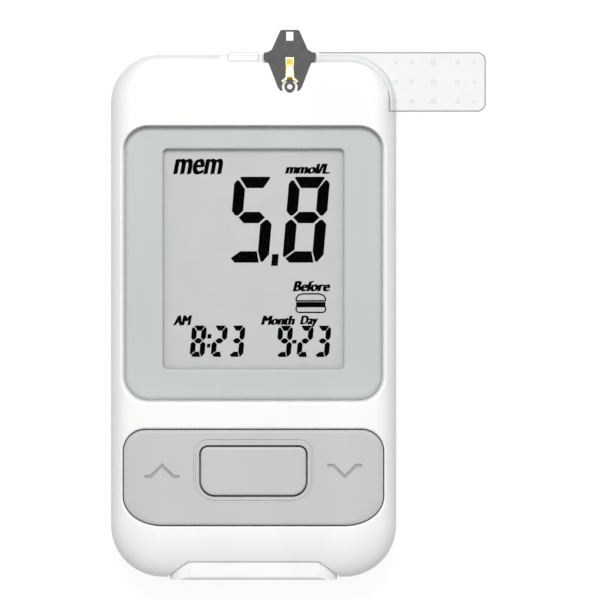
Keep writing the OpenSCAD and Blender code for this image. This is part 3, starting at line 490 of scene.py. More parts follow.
@dataclass(frozen=True)
class SolderMask:
    """Green board with slightly raised copper tracks under its mask."""

    name: str
    mask: Colour
    track: Colour
    pitch: float = 1.6 * MM
    track_share: float = 0.02
    track_edge: float = 0.3
    track_depth: float = 0.02 * MM
    sheen_size: float = 2 * MM
    roughness: Range = (0.28, 0.42)

    def material(self) -> bpy.types.Material:
        """Builds the material.

        Returns:
            The material.
        """
        recipe = Recipe(self.name)
        recipe.fixed(IOR=1.55)
        tracks = recipe.add("ShaderNodeTexBrick", recipe.place, offset=0.5)
        tracks.inputs["Scale"].default_value = 1 / (4 * self.pitch)
        tracks.inputs["Mortar Size"].default_value = self.track_share
        tracks.inputs["Mortar Smooth"].default_value = self.track_edge
        recipe.colour(tracks.outputs[1], self.mask, self.track)
        recipe.roughen(recipe.grain(self.sheen_size, 3.0), *self.roughness)
        recipe.relief(tracks.outputs[1], self.track_depth, 0.4)
        return recipe.material


FINISHES = {
    "white_shell": MouldedPlastic("satin_white", (247, 247, 246)),
    "grey_frame": MouldedPlastic("satin_grey_frame", (193, 196, 197), roughness=(0.4, 0.5)),
    "grey_key": MouldedPlastic(
        "satin_grey_keys", (195, 197, 198), roughness=(0.4, 0.5), polish_centre=(0, -28 * MM, 16 * MM)
    ),
    "clear_window": ClearPlastic("clear_window", (24, 26, 26), 0.016, 0.08),
    "clear_carrier": ClearPlastic("clear_film", (246, 248, 249), 0.05),
    "tab_face": ClearPlastic("clear_tab_face", (212, 217, 218), 0.24),
    # Painted shade: grey, partly opaque films on the strip carrier's rounded outline and bumps, standing in for light
    # bent by the clear plastic.
    "tab_edge": ClearPlastic("painted_shade_tab_edge", (84, 87, 88), 0.62),
    "bar_edge": ClearPlastic("painted_shade_bar_edge", (150, 153, 154), 0.3),
    "bump": ClearPlastic("painted_shade_bump", (190, 194, 195), 0.34),
    "foam": Foam("black_foam", (52, 52, 54), (26, 26, 27)),
    "lcd": LiquidCrystal("display_glass", (198, 200, 202)),
    "white_insert": MouldedPlastic("white_insert", (238, 238, 235), roughness=(0.5, 0.6)),
    "soft_rubber": StripedRubber("striped_rubber", (38, 38, 42), (150, 150, 152)),
    "board": SolderMask("green_board", (26, 92, 52), (52, 128, 74)),
    "chip": MouldedPlastic("black_epoxy", (38, 38, 40), 5, (0.45, 0.6), 0.15 * MM, 0.01 * MM, 0.4),
    "steel": PlatedMetal("bright_steel", (176, 178, 180), (206, 208, 210)),
    "cell": PlatedMetal("nickel_can", (186, 186, 182), (214, 214, 210), (0.2, 0.3), (1, 1, 8)),
    "gold": PlatedMetal("gold_plating", (205, 182, 118), (236, 219, 164)),
    # The strip's gold track has painted shade by the ring and painted highlights in bands along it.
    "strip_gold": GoldTrack(
        "strip_gold", wear_and_painted_shade=(112, 92, 30), gold=(192, 168, 88), pale=(250, 240, 196),
        start=42.2 * MM, end=47.3 * MM, middle=6.6 * MM, neck=0.6 * MM,
    ),
    "strip_grey": Ink("dark_strip_film", (72, 72, 70), 9, (0.45, 0.6)),
    "strip_core": Ink("white_strip_core", (244, 244, 240), 3, (0.5, 0.6)),
    "segment": Ink("dark_segment", (2, 2, 2), 2, gloss=0.0),
    # The floors of the engraved arrow marks are coloured a darker grey than the key.
    "mark": Ink("engraved_mark", (158, 160, 162), 4, (0.5, 0.6)),
}


@cache
def finish_of(slot: str) -> bpy.types.Material:
    """Makes the material of a slot at its first use and hands it out again later."""
    return FINISHES[slot].material()


# Shaping

UPRIGHT = 0.05
LEVEL = 0.95
DOUBLES = 0.0008 * MM
FLAT_ANGLE = math.radians(0.4)


def only(piece: bpy.types.Object) -> None:
    """Selects one object and makes it the active one."""
    bpy.ops.object.select_all(action="DESELECT")
    piece.select_set(True)
    bpy.context.view_layer.objects.active = piece


@contextmanager
def editing(piece: bpy.types.Object) -> Iterator[None]:
    """Opens a piece for editing with all of it selected, and closes it again.

    Args:
        piece: The piece.
    """
    only(piece)
    bpy.ops.object.mode_set(mode="EDIT")
    bpy.ops.mesh.select_all(action="SELECT")
    yield
    bpy.ops.object.mode_set(mode="OBJECT")


def finish_modifiers(piece: bpy.types.Object) -> None:
    """Applies every modifier of a piece in order.

    Args:
        piece: The piece.
    """
    only(piece)
    for modifier in list(piece.modifiers):
        bpy.ops.object.modifier_apply(modifier=modifier.name)


def soften(piece: bpy.types.Object, width: float, segments: int = 2, sharp: float = 32) -> None:
    """Rounds the sharp edges of a piece and shades it smoothly.

    Args:
        piece: The piece.
        width: Width of the rounding in metres.
        segments: Steps across the rounding.
        sharp: Angle in degrees from which an edge is sharp.
    """
    bevel = piece.modifiers.new("soft_edges", "BEVEL")
    bevel.width = width
    bevel.segments = segments
    bevel.limit_method = "ANGLE"
    bevel.angle_limit = math.radians(sharp)
    bevel.miter_outer = "MITER_ARC"
    bevel.use_clamp_overlap = True
    finish_modifiers(piece)
    bpy.ops.object.shade_smooth_by_angle(angle=math.radians(sharp))
    normals = piece.modifiers.new("even_shading", "WEIGHTED_NORMAL")
    normals.keep_sharp = True
    normals.weight = 60
    finish_modifiers(piece)


def round_edges(piece: bpy.types.Object, width: float, segments: int, chosen: Callable[[Vector, Vector], bool],
                clamp: bool = True) -> None:
    """Rounds the edges between upright walls and level faces that pass a test.

    Args:
        piece: The piece.
        width: Width of the rounding in metres.
        segments: Steps across the rounding.
        chosen: Test of an edge's two ends.
        clamp: Whether short edges nearby narrow the rounding.
    """
    walls = {key for face in piece.data.polygons if abs(face.normal.z) < UPRIGHT for key in face.edge_keys}
    levels = {key for face in piece.data.polygons if abs(face.normal.z) > LEVEL for key in face.edge_keys}
    only(piece)
    bpy.context.tool_settings.mesh_select_mode = (False, True, False)
    bpy.ops.object.mode_set(mode="EDIT")
    bpy.ops.mesh.select_all(action="DESELECT")
    bpy.ops.object.mode_set(mode="OBJECT")
    for edge in piece.data.edges:
        ends = [piece.data.vertices[index].co for index in edge.vertices]
        edge.select = edge.key in walls and edge.key in levels and chosen(*ends)
    bpy.ops.object.mode_set(mode="EDIT")
    bpy.ops.mesh.bevel(offset=width, segments=segments, affect="EDGES", clamp_overlap=clamp)
    bpy.ops.object.mode_set(mode="OBJECT")
    bpy.context.tool_settings.mesh_select_mode = (True, False, False)


def merge_flat(piece: bpy.types.Object) -> None:
    """Merges doubled points of a piece and joins its flat faces.

    Args:
        piece: The piece.
    """
    with editing(piece):
        bpy.ops.mesh.customdata_custom_splitnormals_clear()
        bpy.ops.mesh.remove_doubles(threshold=DOUBLES)
        bpy.ops.mesh.dissolve_limited(angle_limit=FLAT_ANGLE, use_dissolve_boundaries=False)


def carried(node: str, name: str) -> bpy.types.Object:
    """Copies a CAD node, merges its loose triangles and joins its flat faces.

    Args:
        node: Name of the CAD node.
        name: Name of the new piece.

    Returns:
        The new piece, at the origin.
    """
    piece = bpy.data.objects.new(name, frame["nodes"][node].data.copy())
    piece.data.name = name
    piece.data.materials.clear()
    bpy.context.scene.collection.objects.link(piece)
    merge_flat(piece)
    return piece


def mouth_of(piece: bpy.types.Object, node: str, reach: float, level: float) -> list[Vector]:
    """Lists the points of a piece's outer edge round the opening that a node fills.

    Args:
        piece: The piece with the opening.
        node: The CAD node in the opening.
        reach: How far outside the node's box the edge may lie.
        level: Height above which the edge lies.

    Returns:
        The points, anticlockwise.
    """
    low, high = (Vector(corner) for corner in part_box(node))
    centre, half = (low + high) / 2, (high - low) / 2
    walls = {index for face in piece.data.polygons if abs(face.normal.z) < UPRIGHT for index in face.vertices}
    points = [piece.data.vertices[index].co - centre for index in walls]
    rim = [
        point for point in points
        if abs(point.x) < half.x + reach and abs(point.y) < half.y + reach and point.z + centre.z > level
    ]
    return [centre + point for point in sorted(rim, key=lambda point: math.atan2(point.y, point.x))]


def round_mouth(piece: bpy.types.Object, mouth: Sequence[Vector], reach: float, far_reach: float,
                steps: int = 5) -> None:
    """Rounds the edge where the upright wall of an opening meets a piece's outer surface.

    A ring with the section of the waste is laid along the edge, and a boolean takes it away. The section is the
    rounding's arc and five corners outside the material, in shares of its length.

    Args:
        piece: The piece.
        mouth: Points of the edge, anticlockwise.
        reach: How far the rounding reaches along the surface and down the wall.
        far_reach: The same on the side towards the strip end.
        steps: Steps across the rounding.
    """
    down = Vector((0, 0, -1))
    sides = steps + 6
    bpy.ops.object.select_all(action="DESELECT")
    bpy.ops.mesh.primitive_torus_add(major_segments=len(mouth), minor_segments=sides, generate_uvs=False)
    waste = bpy.context.object
    for index, corner in enumerate(mouth):
        entering = (corner - mouth[index - 1]).xy.normalized()
        leaving = (mouth[(index + 1) % len(mouth)] - corner).xy.normalized()
        along = (entering + leaving).normalized()
        out = Vector((along.y, -along.x, 0))
        length = reach + (far_reach - reach) * max(out.y, 0) ** 2
        surface = piece.ray_cast(corner + out * length - down * length, down)[1]
        slope = (surface - corner).normalized()
        turn = slope.angle(down)
        radius = length * math.tan(turn / 2)
        centre = corner + (slope + down).normalized() * (radius / math.sin(turn / 2))
        start = (corner + slope * length - centre) * 1.01
        axis = down.cross(slope).normalized()
        section = [
            centre + Matrix.Rotation((math.pi - turn) * step / steps, 3, axis) @ start for step in range(steps + 1)
        ]
        section += [
            section[-1] + (down * 2 - out * 0.4) * length * 0.1,
            section[-1] + (down - out * 2) * length * 0.2,
            corner - (down + out) * length * 0.5,
            section[0] + (out - down * 5) * length * 0.1,
            section[0] + (out - down * 0.2) * length * 0.1,
        ]
        for vertex, place in zip(waste.data.vertices[index * sides:(index + 1) * sides], section):
            vertex.co = place
    with editing(waste):
        bpy.ops.mesh.normals_make_consistent(inside=False)
    cut = piece.modifiers.new("mouth", "BOOLEAN")
    cut.operation = "DIFFERENCE"
    cut.solver = "EXACT"
    cut.object = waste
    finish_modifiers(piece)
    bpy.data.objects.remove(waste, do_unlink=True)


def thicken(piece: bpy.types.Object, thickness: float) -> None:
    """Raises a flat piece to its thickness and turns its faces outwards.

    Args:
        piece: The piece.
        thickness: Thickness in millimetres.
    """
    with editing(piece):
        bpy.ops.mesh.extrude_region_move(TRANSFORM_OT_translate={"value": (0, 0, thickness * MM)})
        bpy.ops.mesh.select_all(action="SELECT")
        bpy.ops.mesh.normals_make_consistent(inside=False)


def plate(name: str, outline: Sequence[Point], low: float, thickness: float) -> bpy.types.Object:
    """Makes a thin flat piece from an outline in millimetres.

    Args:
        name: Name of the piece.
        outline: Corners, anticlockwise, in millimetres.
        low: Height of its underside in millimetres.
        thickness: Thickness in millimetres.

    Returns:
        The piece, at the origin.
    """
    bpy.ops.object.select_all(action="DESELECT")
    bpy.ops.mesh.primitive_circle_add(vertices=len(outline), radius=MM, fill_type="NGON")
    piece = bpy.context.object
    piece.name = name
    for vertex, (x, y) in zip(piece.data.vertices, outline):
        vertex.co = (x * MM, y * MM, low * MM)
    thicken(piece, thickness)
    return piece


def joined(name: str, pieces: Sequence[bpy.types.Object]) -> bpy.types.Object:
    """Joins pieces into one mesh.

    Args:
        name: Name of the joined piece.
        pieces: The pieces.

    Returns:
        The joined piece.
    """
    only(pieces[0])
    for piece in pieces[1:]:
        piece.select_set(True)
    bpy.ops.object.join()
    result = bpy.context.object
    result.name = name
    result.data.name = name
    return result


def stroke(path: Sequence[Point], width: float) -> list[Point]:
    """Outlines a line of even width along a path.

    Args:
        path: Points of the path.
        width: Width of the line.

    Returns:
        The corners of the outline.
    """
    left: list[Point] = []
    right: list[Point] = []
    for index, (x, y) in enumerate(path):
        before = path[max(index - 1, 0)]
        after = path[min(index + 1, len(path) - 1)]
        along = Vector((after[0] - before[0], after[1] - before[1])).normalized()
        left.append((x - along.y * width / 2, y + along.x * width / 2))
        right.append((x + along.y * width / 2, y - along.x * width / 2))
    return right + left[::-1]


def dress(piece: bpy.types.Object, slot: str, body: str, replaced: Sequence[str] = (),
          finish: str | None = None) -> None:
    """Gives a piece its finish and fixes it to its body.

    Args:
        piece: The piece.
        slot: Material slot of the record.
        body: Body that it moves with.
        replaced: CAD nodes that it stands for.
        finish: Finish if it isn't the slot's own.
    """
    piece.data.materials.clear()
    piece.data.materials.append(finish_of(finish or slot))
    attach(piece, body)
    if replaced:
        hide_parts(*replaced)
    log.info("%s rides on %s with %d faces", piece.name, body, len(piece.data.polygons))


# Sub-assemblies


@dataclass
class Casing:
    """The two shells and the battery door."""

    rim: float = 0.16 * MM
    parting_rim: float = 0.08 * MM
    mouths: dict[str, Range] = field(default_factory=lambda: {
        "display_bezel": (0.6 * MM, 0.06 * MM),
        "rocker_key": (0.4 * MM, 0.4 * MM),
    })
    mouth_reach: float = 0.4 * MM
    mouth_depth: float = 0.8 * MM
    lip_depth: float = 3.3 * MM
    lip_length: float = 6 * MM
    lip_lift: float = 0.9 * MM
    lip_inner: float = 5 * MM
    lip_gap: float = 0.1 * MM

    def build(self) -> None:
        """Builds and dresses the shells and the door."""
        self.build_front()
        rear = carried("rear_shell", "rear_casing")
        soften(rear, self.parting_rim)
        dress(rear, "white_shell", "case", ["rear_shell"])
        self.build_door()

    def build_front(self) -> None:
        """Builds the front shell with rounded mouths round the display and the keys."""
        front = carried("front_shell", "front_casing")
        for node, reaches in self.mouths.items():
            mouth = mouth_of(front, node, self.mouth_reach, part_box("front_shell")[1].z - self.mouth_depth)
            round_mouth(front, mouth, *reaches)
            merge_flat(front)
        soften(front, self.rim)
        dress(front, "white_shell", "case", ["front_shell"])

    def build_door(self) -> None:
        """Builds the battery door, with its lip raised to lie nearly flush with the front shell."""
        door = carried("battery_door", "door_cover")
        low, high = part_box("battery_door")
        lip_low = high.z - self.lip_depth
        lip_end = low.y + self.lip_length
        for vertex in door.data.vertices:
            if vertex.co.z > lip_low and vertex.co.y < lip_end:
                vertex.co.z += self.lip_lift * min((vertex.co.z - lip_low) / self.lip_depth, 1)
                if vertex.co.y > lip_end - self.lip_inner:
                    vertex.co.y += self.lip_gap
        soften(door, self.parting_rim)
        dress(door, "white_shell", "battery_door", ["battery_door"])


class Segment(Enum):
    """The seven bars of a digit, under their usual letters."""

    TOP = "a"
    HIGH_RIGHT = "b"
    LOW_RIGHT = "c"
    BOTTOM = "d"
    LOW_LEFT = "e"
    HIGH_LEFT = "f"
    MIDDLE = "g"


DIGIT_BARS = {"2": "abged", "3": "abgcd", "5": "afgcd", "8": "abcdefg", "9": "abcdfg"}


@dataclass(frozen=True)
class DigitRow:
    """A row of slanted seven-bar digits with its dots, all in millimetres.

    Each sign has its lower left corner, and each dot its left, right, low and high side.
    """

    width: float
    height: float
    bar: float
    middle: float
    slant: float
    signs: tuple[tuple[str, float, float], ...]
    dots: tuple[tuple[float, float, float, float], ...]

    def bars(self) -> dict[Segment, list[Point]]:
        """Gives the corners of each bar of an upright digit whose lower left corner is the origin.

        Returns:
            The corners, worked out in widths of a bar.
        """
        w, h, m = self.width / self.bar, self.height / self.bar, self.middle / self.bar
        shapes = {
            Segment.TOP: [
                (0.48, h - 0.1), (1.12, h - 1), (w - 1, h - 1), (w - 0.45, h - 0.1), (w - 0.56, h), (0.57, h),
            ],
            Segment.HIGH_RIGHT: [
                (w, m + 0.62), (w, h - 0.63), (w - 0.22, h - 0.31), (w - 0.4, h - 0.3), (w - 1, h - 1.12),
                (w - 1, m + 0.64), (w - 0.6, m + 0.18), (w - 0.36, m + 0.18),
            ],
            Segment.LOW_RIGHT: [
                (w, 0.72), (w, m - 0.58), (w - 0.36, m - 0.2), (w - 0.58, m - 0.2), (w - 1, m - 0.62), (w - 1, 1),
                (w - 0.7, 0.1), (w - 0.52, 0.06),
            ],
            Segment.BOTTOM: [(0.25, 0.38), (0.62, 0), (w - 0.84, 0), (w - 1.1, 1), (1.04, 1)],
            Segment.LOW_LEFT: [
                (0, 0.64), (0.08, 0.5), (0.18, 0.48), (1, 1.14), (1, m - 0.62), (0.58, m - 0.2), (0.36, m - 0.2),
                (0, m - 0.56),
            ],
            Segment.HIGH_LEFT: [
                (0, m + 0.57), (0.34, m + 0.18), (0.6, m + 0.18), (1, m + 0.6), (1, h - 1.12), (0.43, h - 0.34),
                (0.22, h - 0.31), (0, h - 0.62),
            ],
            Segment.MIDDLE: [
                (0.64, m), (1.14, m - 0.5), (w - 1.14, m - 0.5), (w - 0.64, m), (w - 1.14, m + 0.5), (1.14, m + 0.5),
            ],
        }
        return {segment: [(x * self.bar, y * self.bar) for x, y in corners] for segment, corners in shapes.items()}

    def pieces(self, low: float, thickness: float) -> list[bpy.types.Object]:
        """Makes the bars of all the digits, and the dots.

        Args:
            low: Height of the underside.
            thickness: Thickness of the film.

        Returns:
            One thin piece for each bar and each dot.
        """
        shapes = self.bars()
        made = []
        for sign, left, base in self.signs:
            for segment in Segment:
                if segment.value in DIGIT_BARS[sign]:
                    corners = [(left + x + self.slant * y, base + y) for x, y in shapes[segment]]
                    made.append(plate(f"bar_{segment.value}", corners, low, thickness))
        for left, right, base, top in self.dots:
            lean = self.slant * (top - base)
            corners = [(left, base), (right, base), (right + lean, top), (left + lean, top)]
            made.append(plate("dot", corners, low, thickness))
        return made


@dataclass(frozen=True)
class Legend:
    """A short word on the display and the box in millimetres that it fills."""

    word: str
    left: float
    right: float
    low: float
    high: float
    weight: float
    shear: float = 0.25
    curve_steps: int = 3
    copies: int = 2
    seam: float = 0.001 * MM

    def piece(self, level: float, thickness: float) -> bpy.types.Object:
        """Makes the word as thin slanted film, made bolder by copies beside each letter.

        Args:
            level: Height of the underside in millimetres.
            thickness: Thickness in millimetres.

        Returns:
            The piece, at the origin.
        """
        bpy.ops.object.select_all(action="DESELECT")
        bpy.ops.object.text_add()
        text = bpy.context.object.data
        text.body = self.word
        text.shear = self.shear
        text.resolution_u = self.curve_steps
        bpy.ops.object.convert(target="MESH")
        piece = bpy.context.object
        with editing(piece):
            for _ in range(self.copies):
                bpy.ops.mesh.duplicate_move(TRANSFORM_OT_translate={"value": (self.weight / 2, self.weight / 10, 0)})
        xs = [vertex.co.x for vertex in piece.data.vertices]
        ys = [vertex.co.y for vertex in piece.data.vertices]
        wide = (self.right - self.left) * MM / (max(xs) - min(xs))
        tall = (self.high - self.low) * MM / (max(ys) - min(ys))
        move = Matrix.Translation((self.left * MM - min(xs) * wide, self.low * MM - min(ys) * tall, level * MM))
        piece.data.transform(move @ Matrix.Diagonal((wide, tall, 1, 1)))
        with editing(piece):
            bpy.ops.mesh.remove_doubles(threshold=self.seam)
        thicken(piece, thickness)
        return piece


@dataclass
class Display:
    """The frame round the display and everything that the display shows."""

    rim: float = 0.12 * MM
    outer_rim: float = 1.4 * MM
    inner_rim: float = 0.5 * MM
    outline_reach: float = 3 * MM
    top_slack: float = 0.01 * MM
    thickness: float = 0.02
    rows: dict[str, DigitRow] = field(default_factory=lambda: {
        "display_reading": DigitRow(
            7.43, 15.62, 2.06, 8.2, 0.085,
            signs=(("5", -4.74, 9.71), ("8", 5.2, 9.71)),
            dots=((3.2, 4.4, 9.12, 11.25),),
        ),
        "display_clock": DigitRow(
            2.7, 5.7, 0.94, 2.92, 0.085,
            signs=(
                ("8", -11.65, -7.44), ("2", -7.82, -7.44), ("3", -4.62, -7.44),
                ("9", 4.05, -7.47), ("2", 7.8, -7.47), ("3", 11.0, -7.47),
            ),
            dots=((-8.42, -7.72, -4.1, -3.3), (-8.5, -7.9, -5.75, -5.05), (7.0, 7.8, -5.0, -4.35)),
        ),
    })
    legends: tuple[Legend, ...] = (
        Legend("mem", -14.64, -5.54, 25.72, 28.63, 0.09),
        Legend("mmol/L", 5.73, 13.91, 25.85, 27.75, 0.15),
        Legend("Before", 7.13, 13.98, 4.45, 6.39, 0.15),
        Legend("AM", -14.64, -11.18, -1.73, 0.14, 0.16),
        Legend("Month", 1.36, 7.55, -1.65, 0.07, 0.16),
        Legend("Day", 8.45, 11.8, -2.05, 0.07, 0.16),
    )
    bun_strokes: tuple[tuple[str, float, tuple[Point, ...]], ...] = (
        ("bun_top", 0.26, (
            (7.75, 2.75), (7.75, 3.15), (8.1, 3.75), (8.95, 4.02), (11.9, 4.02), (12.75, 3.75), (13.1, 3.15),
            (13.1, 2.75),
        )),
        ("bun_base", 0.26, ((7.75, 1.65), (7.75, 1.0), (8.1, 0.65), (12.75, 0.65), (13.1, 1.0), (13.1, 1.65))),
        ("bun_rule", 0.26, ((7.75, 2.75), (13.1, 2.75))),
        ("filling", 0.97, ((7.75, 2.06), (13.1, 2.06))),
    )

    def build(self) -> None:
        """Builds the frame, the digits, the legends and the picture of a filled bun."""
        self.build_frame()
        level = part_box("lcd_panel")[1].z / MM
        for name, row in self.rows.items():
            self.show(name, row.pieces(level, self.thickness))
        self.show("display_legends", [legend.piece(level, self.thickness) for legend in self.legends])
        self.show("display_meal", [
            plate(name, stroke(path, width), level, self.thickness) for name, width, path in self.bun_strokes
        ])

    def show(self, name: str, pieces: Sequence[bpy.types.Object]) -> None:
        """Joins dark pieces of film and fixes them to the display glass."""
        dress(joined(name, pieces), "lcd", "case", finish="segment")

    def build_frame(self) -> None:
        """Builds the frame, with wide rounded edges at its outline and its window."""
        edge = carried("display_bezel", "display_frame")
        low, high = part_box("display_bezel")

        def outside(point: Vector) -> bool:
            """Tells a point near the frame's outline from one near its window."""
            sides = (point.x - low.x, high.x - point.x, point.y - low.y, high.y - point.y)
            return min(sides) < self.outline_reach

        def on_top(first: Vector, second: Vector) -> bool:
            """Tells an edge of the frame's upper face."""
            return min(first.z, second.z) > high.z - self.top_slack

        round_edges(edge, self.outer_rim, 5, lambda one, two: on_top(one, two) and outside(one) and outside(two))
        round_edges(edge, self.inner_rim, 4, lambda one, two: on_top(one, two) and not outside(one))
        soften(edge, self.rim)
        dress(edge, "grey_frame", "case", ["display_bezel"])


@dataclass
class Keypad:
    """The rocker key with its arrow marks and the centre key."""

    rocker_rim: float = 0.3 * MM
    centre_rim: float = 0.27 * MM
    gap_share: float = 0.06 * MM
    arrow_start: float = 12 * MM
    arrow_depths: Range = (0.19 * MM, 0.21 * MM)

    def build(self) -> None:
        """Builds both keys."""
        rocker = self.key("rocker_key", "rocker_pad", self.rocker_rim)
        self.darken_arrow_floors(rocker)
        self.key("centre_key", "centre_pad", self.centre_rim)

    def key(self, node: str, name: str, rim: float) -> bpy.types.Object:
        """Builds a key, with its sides moved out to narrow the gap round it.

        Args:
            node: Name of the CAD node, which is also its body's.
            name: Name of the new piece.
            rim: Width of its rounded edges in metres.

        Returns:
            The key.
        """
        key = carried(node, name)
        low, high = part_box(node)
        grown = (1 + 2 * self.gap_share / (high.x - low.x), 1 + 2 * self.gap_share / (high.y - low.y), 1)
        with editing(key):
            bpy.ops.transform.resize(value=grown, center_override=(low + high) / 2)
        soften(key, rim)
        dress(key, "grey_key", node, [node])
        return key

    def darken_arrow_floors(self, rocker: bpy.types.Object) -> None:
        """Colours the floors of the engraved arrow marks a darker grey than the key.

        Args:
            rocker: The rocker key.
        """
        rocker.data.materials.append(finish_of("mark"))
        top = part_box("rocker_key")[1].z
        for face in rocker.data.polygons:
            depth = top - face.center.z
            if abs(face.center.x) > self.arrow_start and self.arrow_depths[0] < depth < self.arrow_depths[1]:
                face.material_index = 1


class CarrierFace(Enum):
    """The finishes of the strip's clear carrier, in the order of its materials. The edge and bump finishes are grey
    painted shade, where clear film looks dark from light bent at its rounded edges and bumps.
    """

    BODY = "clear_carrier"
    PAINTED_SHADE_TAB_EDGE = "tab_edge"
    PAINTED_SHADE_BAR_EDGE = "bar_edge"
    BUMP = "bump"
    TAB_FACE = "tab_face"


@dataclass
class TestStrip:
    """The dark strip with its gold track and white base film, in its clear carrier.

    The round base film is given in millimetres and degrees.
    """

    edge: float = 0.28 * MM
    bump_height: float = 0.14 * MM
    bump_rise: float = 0.15 * MM
    score_gap: float = 0.8 * MM
    tab_start: float = 1.5 * MM
    line_gap: float = 0.6 * MM
    slack: float = 0.01 * MM
    facing: float = 0.05
    level: float = 0.97
    plate_rim: float = 0.1 * MM
    film_rim: float = 0.05 * MM
    base_radius: float = 1.5
    base_rise: float = 0.68
    base_start: float = -24
    base_steps: int = 24
    base_lift: float = 0.02
    base_thickness: float = 0.6

    def build(self) -> None:
        """Builds the four pieces of the strip."""
        self.build_carrier()
        body = carried("strip_plate", "strip_body")
        soften(body, self.plate_rim)
        dress(body, "strip_grey", "test_strip", ["strip_plate"])
        self.build_base()
        track = carried("strip_gold_track", "strip_track")
        soften(track, self.film_rim)
        dress(track, "gold", "test_strip", ["strip_gold_track"], "strip_gold")

    def build_carrier(self) -> None:
        """Builds the clear carrier, with grey painted shade on its rounded outline and its bumps."""
        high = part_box("strip_carrier")[1].z
        plate_low, plate_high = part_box("strip_plate")
        tab_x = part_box("front_shell")[1].x - self.tab_start
        line_x = plate_high.x + self.line_gap
        score_x = plate_low.x - self.score_gap
        film = carried("strip_carrier", "strip_film")
        for place in (tab_x, line_x):
            with editing(film):
                bpy.ops.mesh.bisect(plane_co=(place, 0, 0), plane_no=(1, 0, 0))

        def outline(first: Vector, second: Vector) -> bool:
            """Tells an edge of the upper outline beside the dark plate and the score line."""
            if min(first.z, second.z) < high - self.bump_rise - self.slack:
                return False
            return min(first.x, second.x) > line_x - self.slack or max(first.x, second.x) < score_x + self.slack

        round_edges(film, self.edge, 2, outline, clamp=False)
        film.visible_shadow = False
        dress(film, "clear_carrier", "test_strip", ["strip_carrier"])
        kinds = list(CarrierFace)
        for kind in kinds[1:]:
            film.data.materials.append(finish_of(kind.value))
        for face in film.data.polygons:
            x, _, z = face.center
            # Painted shade on the bumps and on the rounded outline, darker on the tab and on the edge facing the strip
            # end beside the plate.
            if z > high - self.bump_height:
                kind = CarrierFace.BUMP
            elif abs(face.normal.z) < self.level:
                outlined = x > tab_x or (x > line_x and face.normal.y > self.facing)
                kind = CarrierFace.PAINTED_SHADE_TAB_EDGE if outlined else CarrierFace.PAINTED_SHADE_BAR_EDGE
            else:
                kind = CarrierFace.TAB_FACE if x > line_x else CarrierFace.BODY
            face.material_index = kinds.index(kind)

    def build_base(self) -> None:
        """Builds the white base film, which shows in the gaps of the plate's fork."""
        low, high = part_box("strip_plate")
        middle = (low.x + high.x) / 2 / MM
        rise = low.y / MM + self.base_rise
        sweep = 180 - 2 * self.base_start
        corners = []
        for step in range(self.base_steps + 1):
            angle = math.radians(self.base_start + sweep * step / self.base_steps)
            corners.append((middle + self.base_radius * math.cos(angle), rise + self.base_radius * math.sin(angle)))
        base = plate("strip_base", corners, low.z / MM + self.base_lift, self.base_thickness)
        soften(base, self.film_rim)
        dress(base, "strip_grey", "test_strip", finish="strip_core")


@dataclass
class Insides:
    """Cells, screws and the other pieces that keep their solids' shapes."""

    rounded: dict[str, tuple[str, str, float]] = field(default_factory=lambda: {
        "coin_cell_upper": ("upper_cell", "cell", 0.2 * MM),
        "coin_cell_lower": ("lower_cell", "cell", 0.2 * MM),
        "case_screws": ("casing_screws", "steel", 0.12 * MM),
    })

    def build(self) -> None:
        """Rounds the cells and screws, and dresses every node that still shows."""
        for node, (name, slot, width) in self.rounded.items():
            piece = carried(node, name)
            soften(piece, width)
            dress(piece, slot, "case", [node])
        slots = {row["node"]: row["material_slot"] for row in frame["record"]["subparts"]}
        for node, solid in frame["nodes"].items():
            if solid.hide_render:
                continue
            for place in solid.material_slots:
                place.material = finish_of(slots[node])
            log.info("%s keeps its shape and gets %s", node, slots[node])


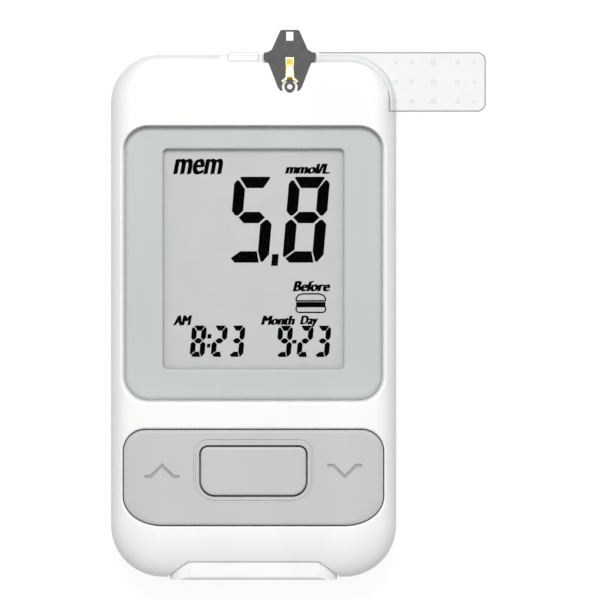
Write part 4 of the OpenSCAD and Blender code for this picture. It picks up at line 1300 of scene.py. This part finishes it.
@dataclass
class Studio:
    """Pale floor, soft light and the camera."""

    floor_size: float = 6
    floor_gap: float = 0.2 * MM
    floor_reach: float = 1.5 * MM
    floor_bounce: float = 0.5
    floor_shade: float = 0.2
    floor_glow: float = 0.86
    overhead: float = 0.83
    beside: float = 0.28
    end_share: float = 1.0
    key_power: float = 5.3
    key_size: float = 0.4
    key_place: Triple = (-0.02, 0.46, 0.88)
    camera_place: Triple = (8.4545 * MM, 2.902 * MM, 1.2261)
    lens: float = 400.0
    sensor: float = 36.0
    clip: Range = (0.01, 20)

    def build(self) -> None:
        """Builds the whole studio."""
        bpy.context.scene.view_settings.view_transform = "Standard"
        self.build_world()
        self.build_floor()
        self.build_lamp()
        self.build_camera()

    def build_world(self) -> None:
        """Builds a surround that looks white and lights the object more from overhead than from beside."""
        world = bpy.data.worlds.new("studio_air")
        bpy.context.scene.world = world
        world.use_nodes = True
        nodes = Nodes(world.node_tree)
        direction = nodes.add("ShaderNodeTexCoord").outputs["Generated"]
        split = nodes.add("ShaderNodeSeparateXYZ", direction)
        sideways, endways = (nodes.maths("MULTIPLY", way, way) for way in split.outputs[:2])
        level_way = nodes.maths("MULTIPLY_ADD", endways, self.end_share, sideways)
        sky = nodes.span(level_way, self.overhead, self.beside, 0, 1)
        strength = nodes.span(nodes.seen_directly(), sky, 1.0, 0, 1)
        background = nodes.tree.nodes["Background"]
        background.inputs["Color"].default_value = WHITE
        nodes.join(strength, background.inputs["Strength"])

    def build_floor(self) -> None:
        """Builds a pale floor with a faint shadow, open to the view from below and to light right beside the object."""
        bpy.ops.object.select_all(action="DESELECT")
        bpy.ops.mesh.primitive_plane_add(size=self.floor_size, location=(0, 0, -self.floor_gap))
        floor = bpy.context.object
        floor.name = "studio_floor"
        material = bpy.data.materials.new("pale_floor")
        material.use_nodes = True
        nodes = Nodes(material.node_tree)
        nodes.tree.nodes.remove(nodes.tree.nodes["Principled BSDF"])
        bounce, shade = (
            nodes.add("ShaderNodeBsdfDiffuse", (grey, grey, grey, 1)).outputs[0]
            for grey in (self.floor_bounce, self.floor_shade)
        )
        glow = nodes.add("ShaderNodeEmission", WHITE, self.floor_glow).outputs[0]
        seen = nodes.add("ShaderNodeAddShader", shade, glow).outputs[0]
        solid = nodes.add("ShaderNodeMixShader", nodes.seen_directly(), bounce, seen).outputs[0]
        path = nodes.add("ShaderNodeLightPath")
        near = nodes.maths("LESS_THAN", path.outputs["Ray Length"], self.floor_reach)
        unseen = nodes.maths("SUBTRACT", near, path.outputs["Is Camera Ray"])
        under = nodes.add("ShaderNodeNewGeometry").outputs["Backfacing"]
        gap = nodes.maths("MAXIMUM", unseen, under)
        clear = nodes.add("ShaderNodeBsdfTransparent").outputs[0]
        surface = nodes.add("ShaderNodeMixShader", gap, solid, clear).outputs[0]
        nodes.join(surface, nodes.tree.nodes["Material Output"].inputs["Surface"])
        floor.data.materials.append(material)

    def build_lamp(self) -> None:
        """Builds the soft lamp beyond the strip end."""
        place = Vector(self.key_place)
        bpy.ops.object.light_add(type="AREA", location=place)
        lamp = bpy.context.object
        lamp.name = "soft_lamp"
        lamp.data.size = self.key_size
        lamp.data.energy = self.key_power
        lamp.rotation_euler = place.to_track_quat("Z", "Y").to_euler()

    def build_camera(self) -> None:
        """Builds the camera, straight above the object."""
        bpy.ops.object.camera_add(location=self.camera_place, rotation=(0, 0, 0))
        camera = bpy.context.object
        camera.data.lens = self.lens
        camera.data.sensor_width = self.sensor
        camera.data.clip_start, camera.data.clip_end = self.clip
        bpy.context.scene.camera = camera


def main() -> None:
    """Builds every sub-assembly."""
    logging.basicConfig(level=logging.INFO, format="%(message)s")
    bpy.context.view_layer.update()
    for assembly in (Casing(), Display(), Keypad(), TestStrip(), Insides(), Studio()):
        log.info("building %s", type(assembly).__name__)
        assembly.build()


if __name__ == "__main__":
    main()
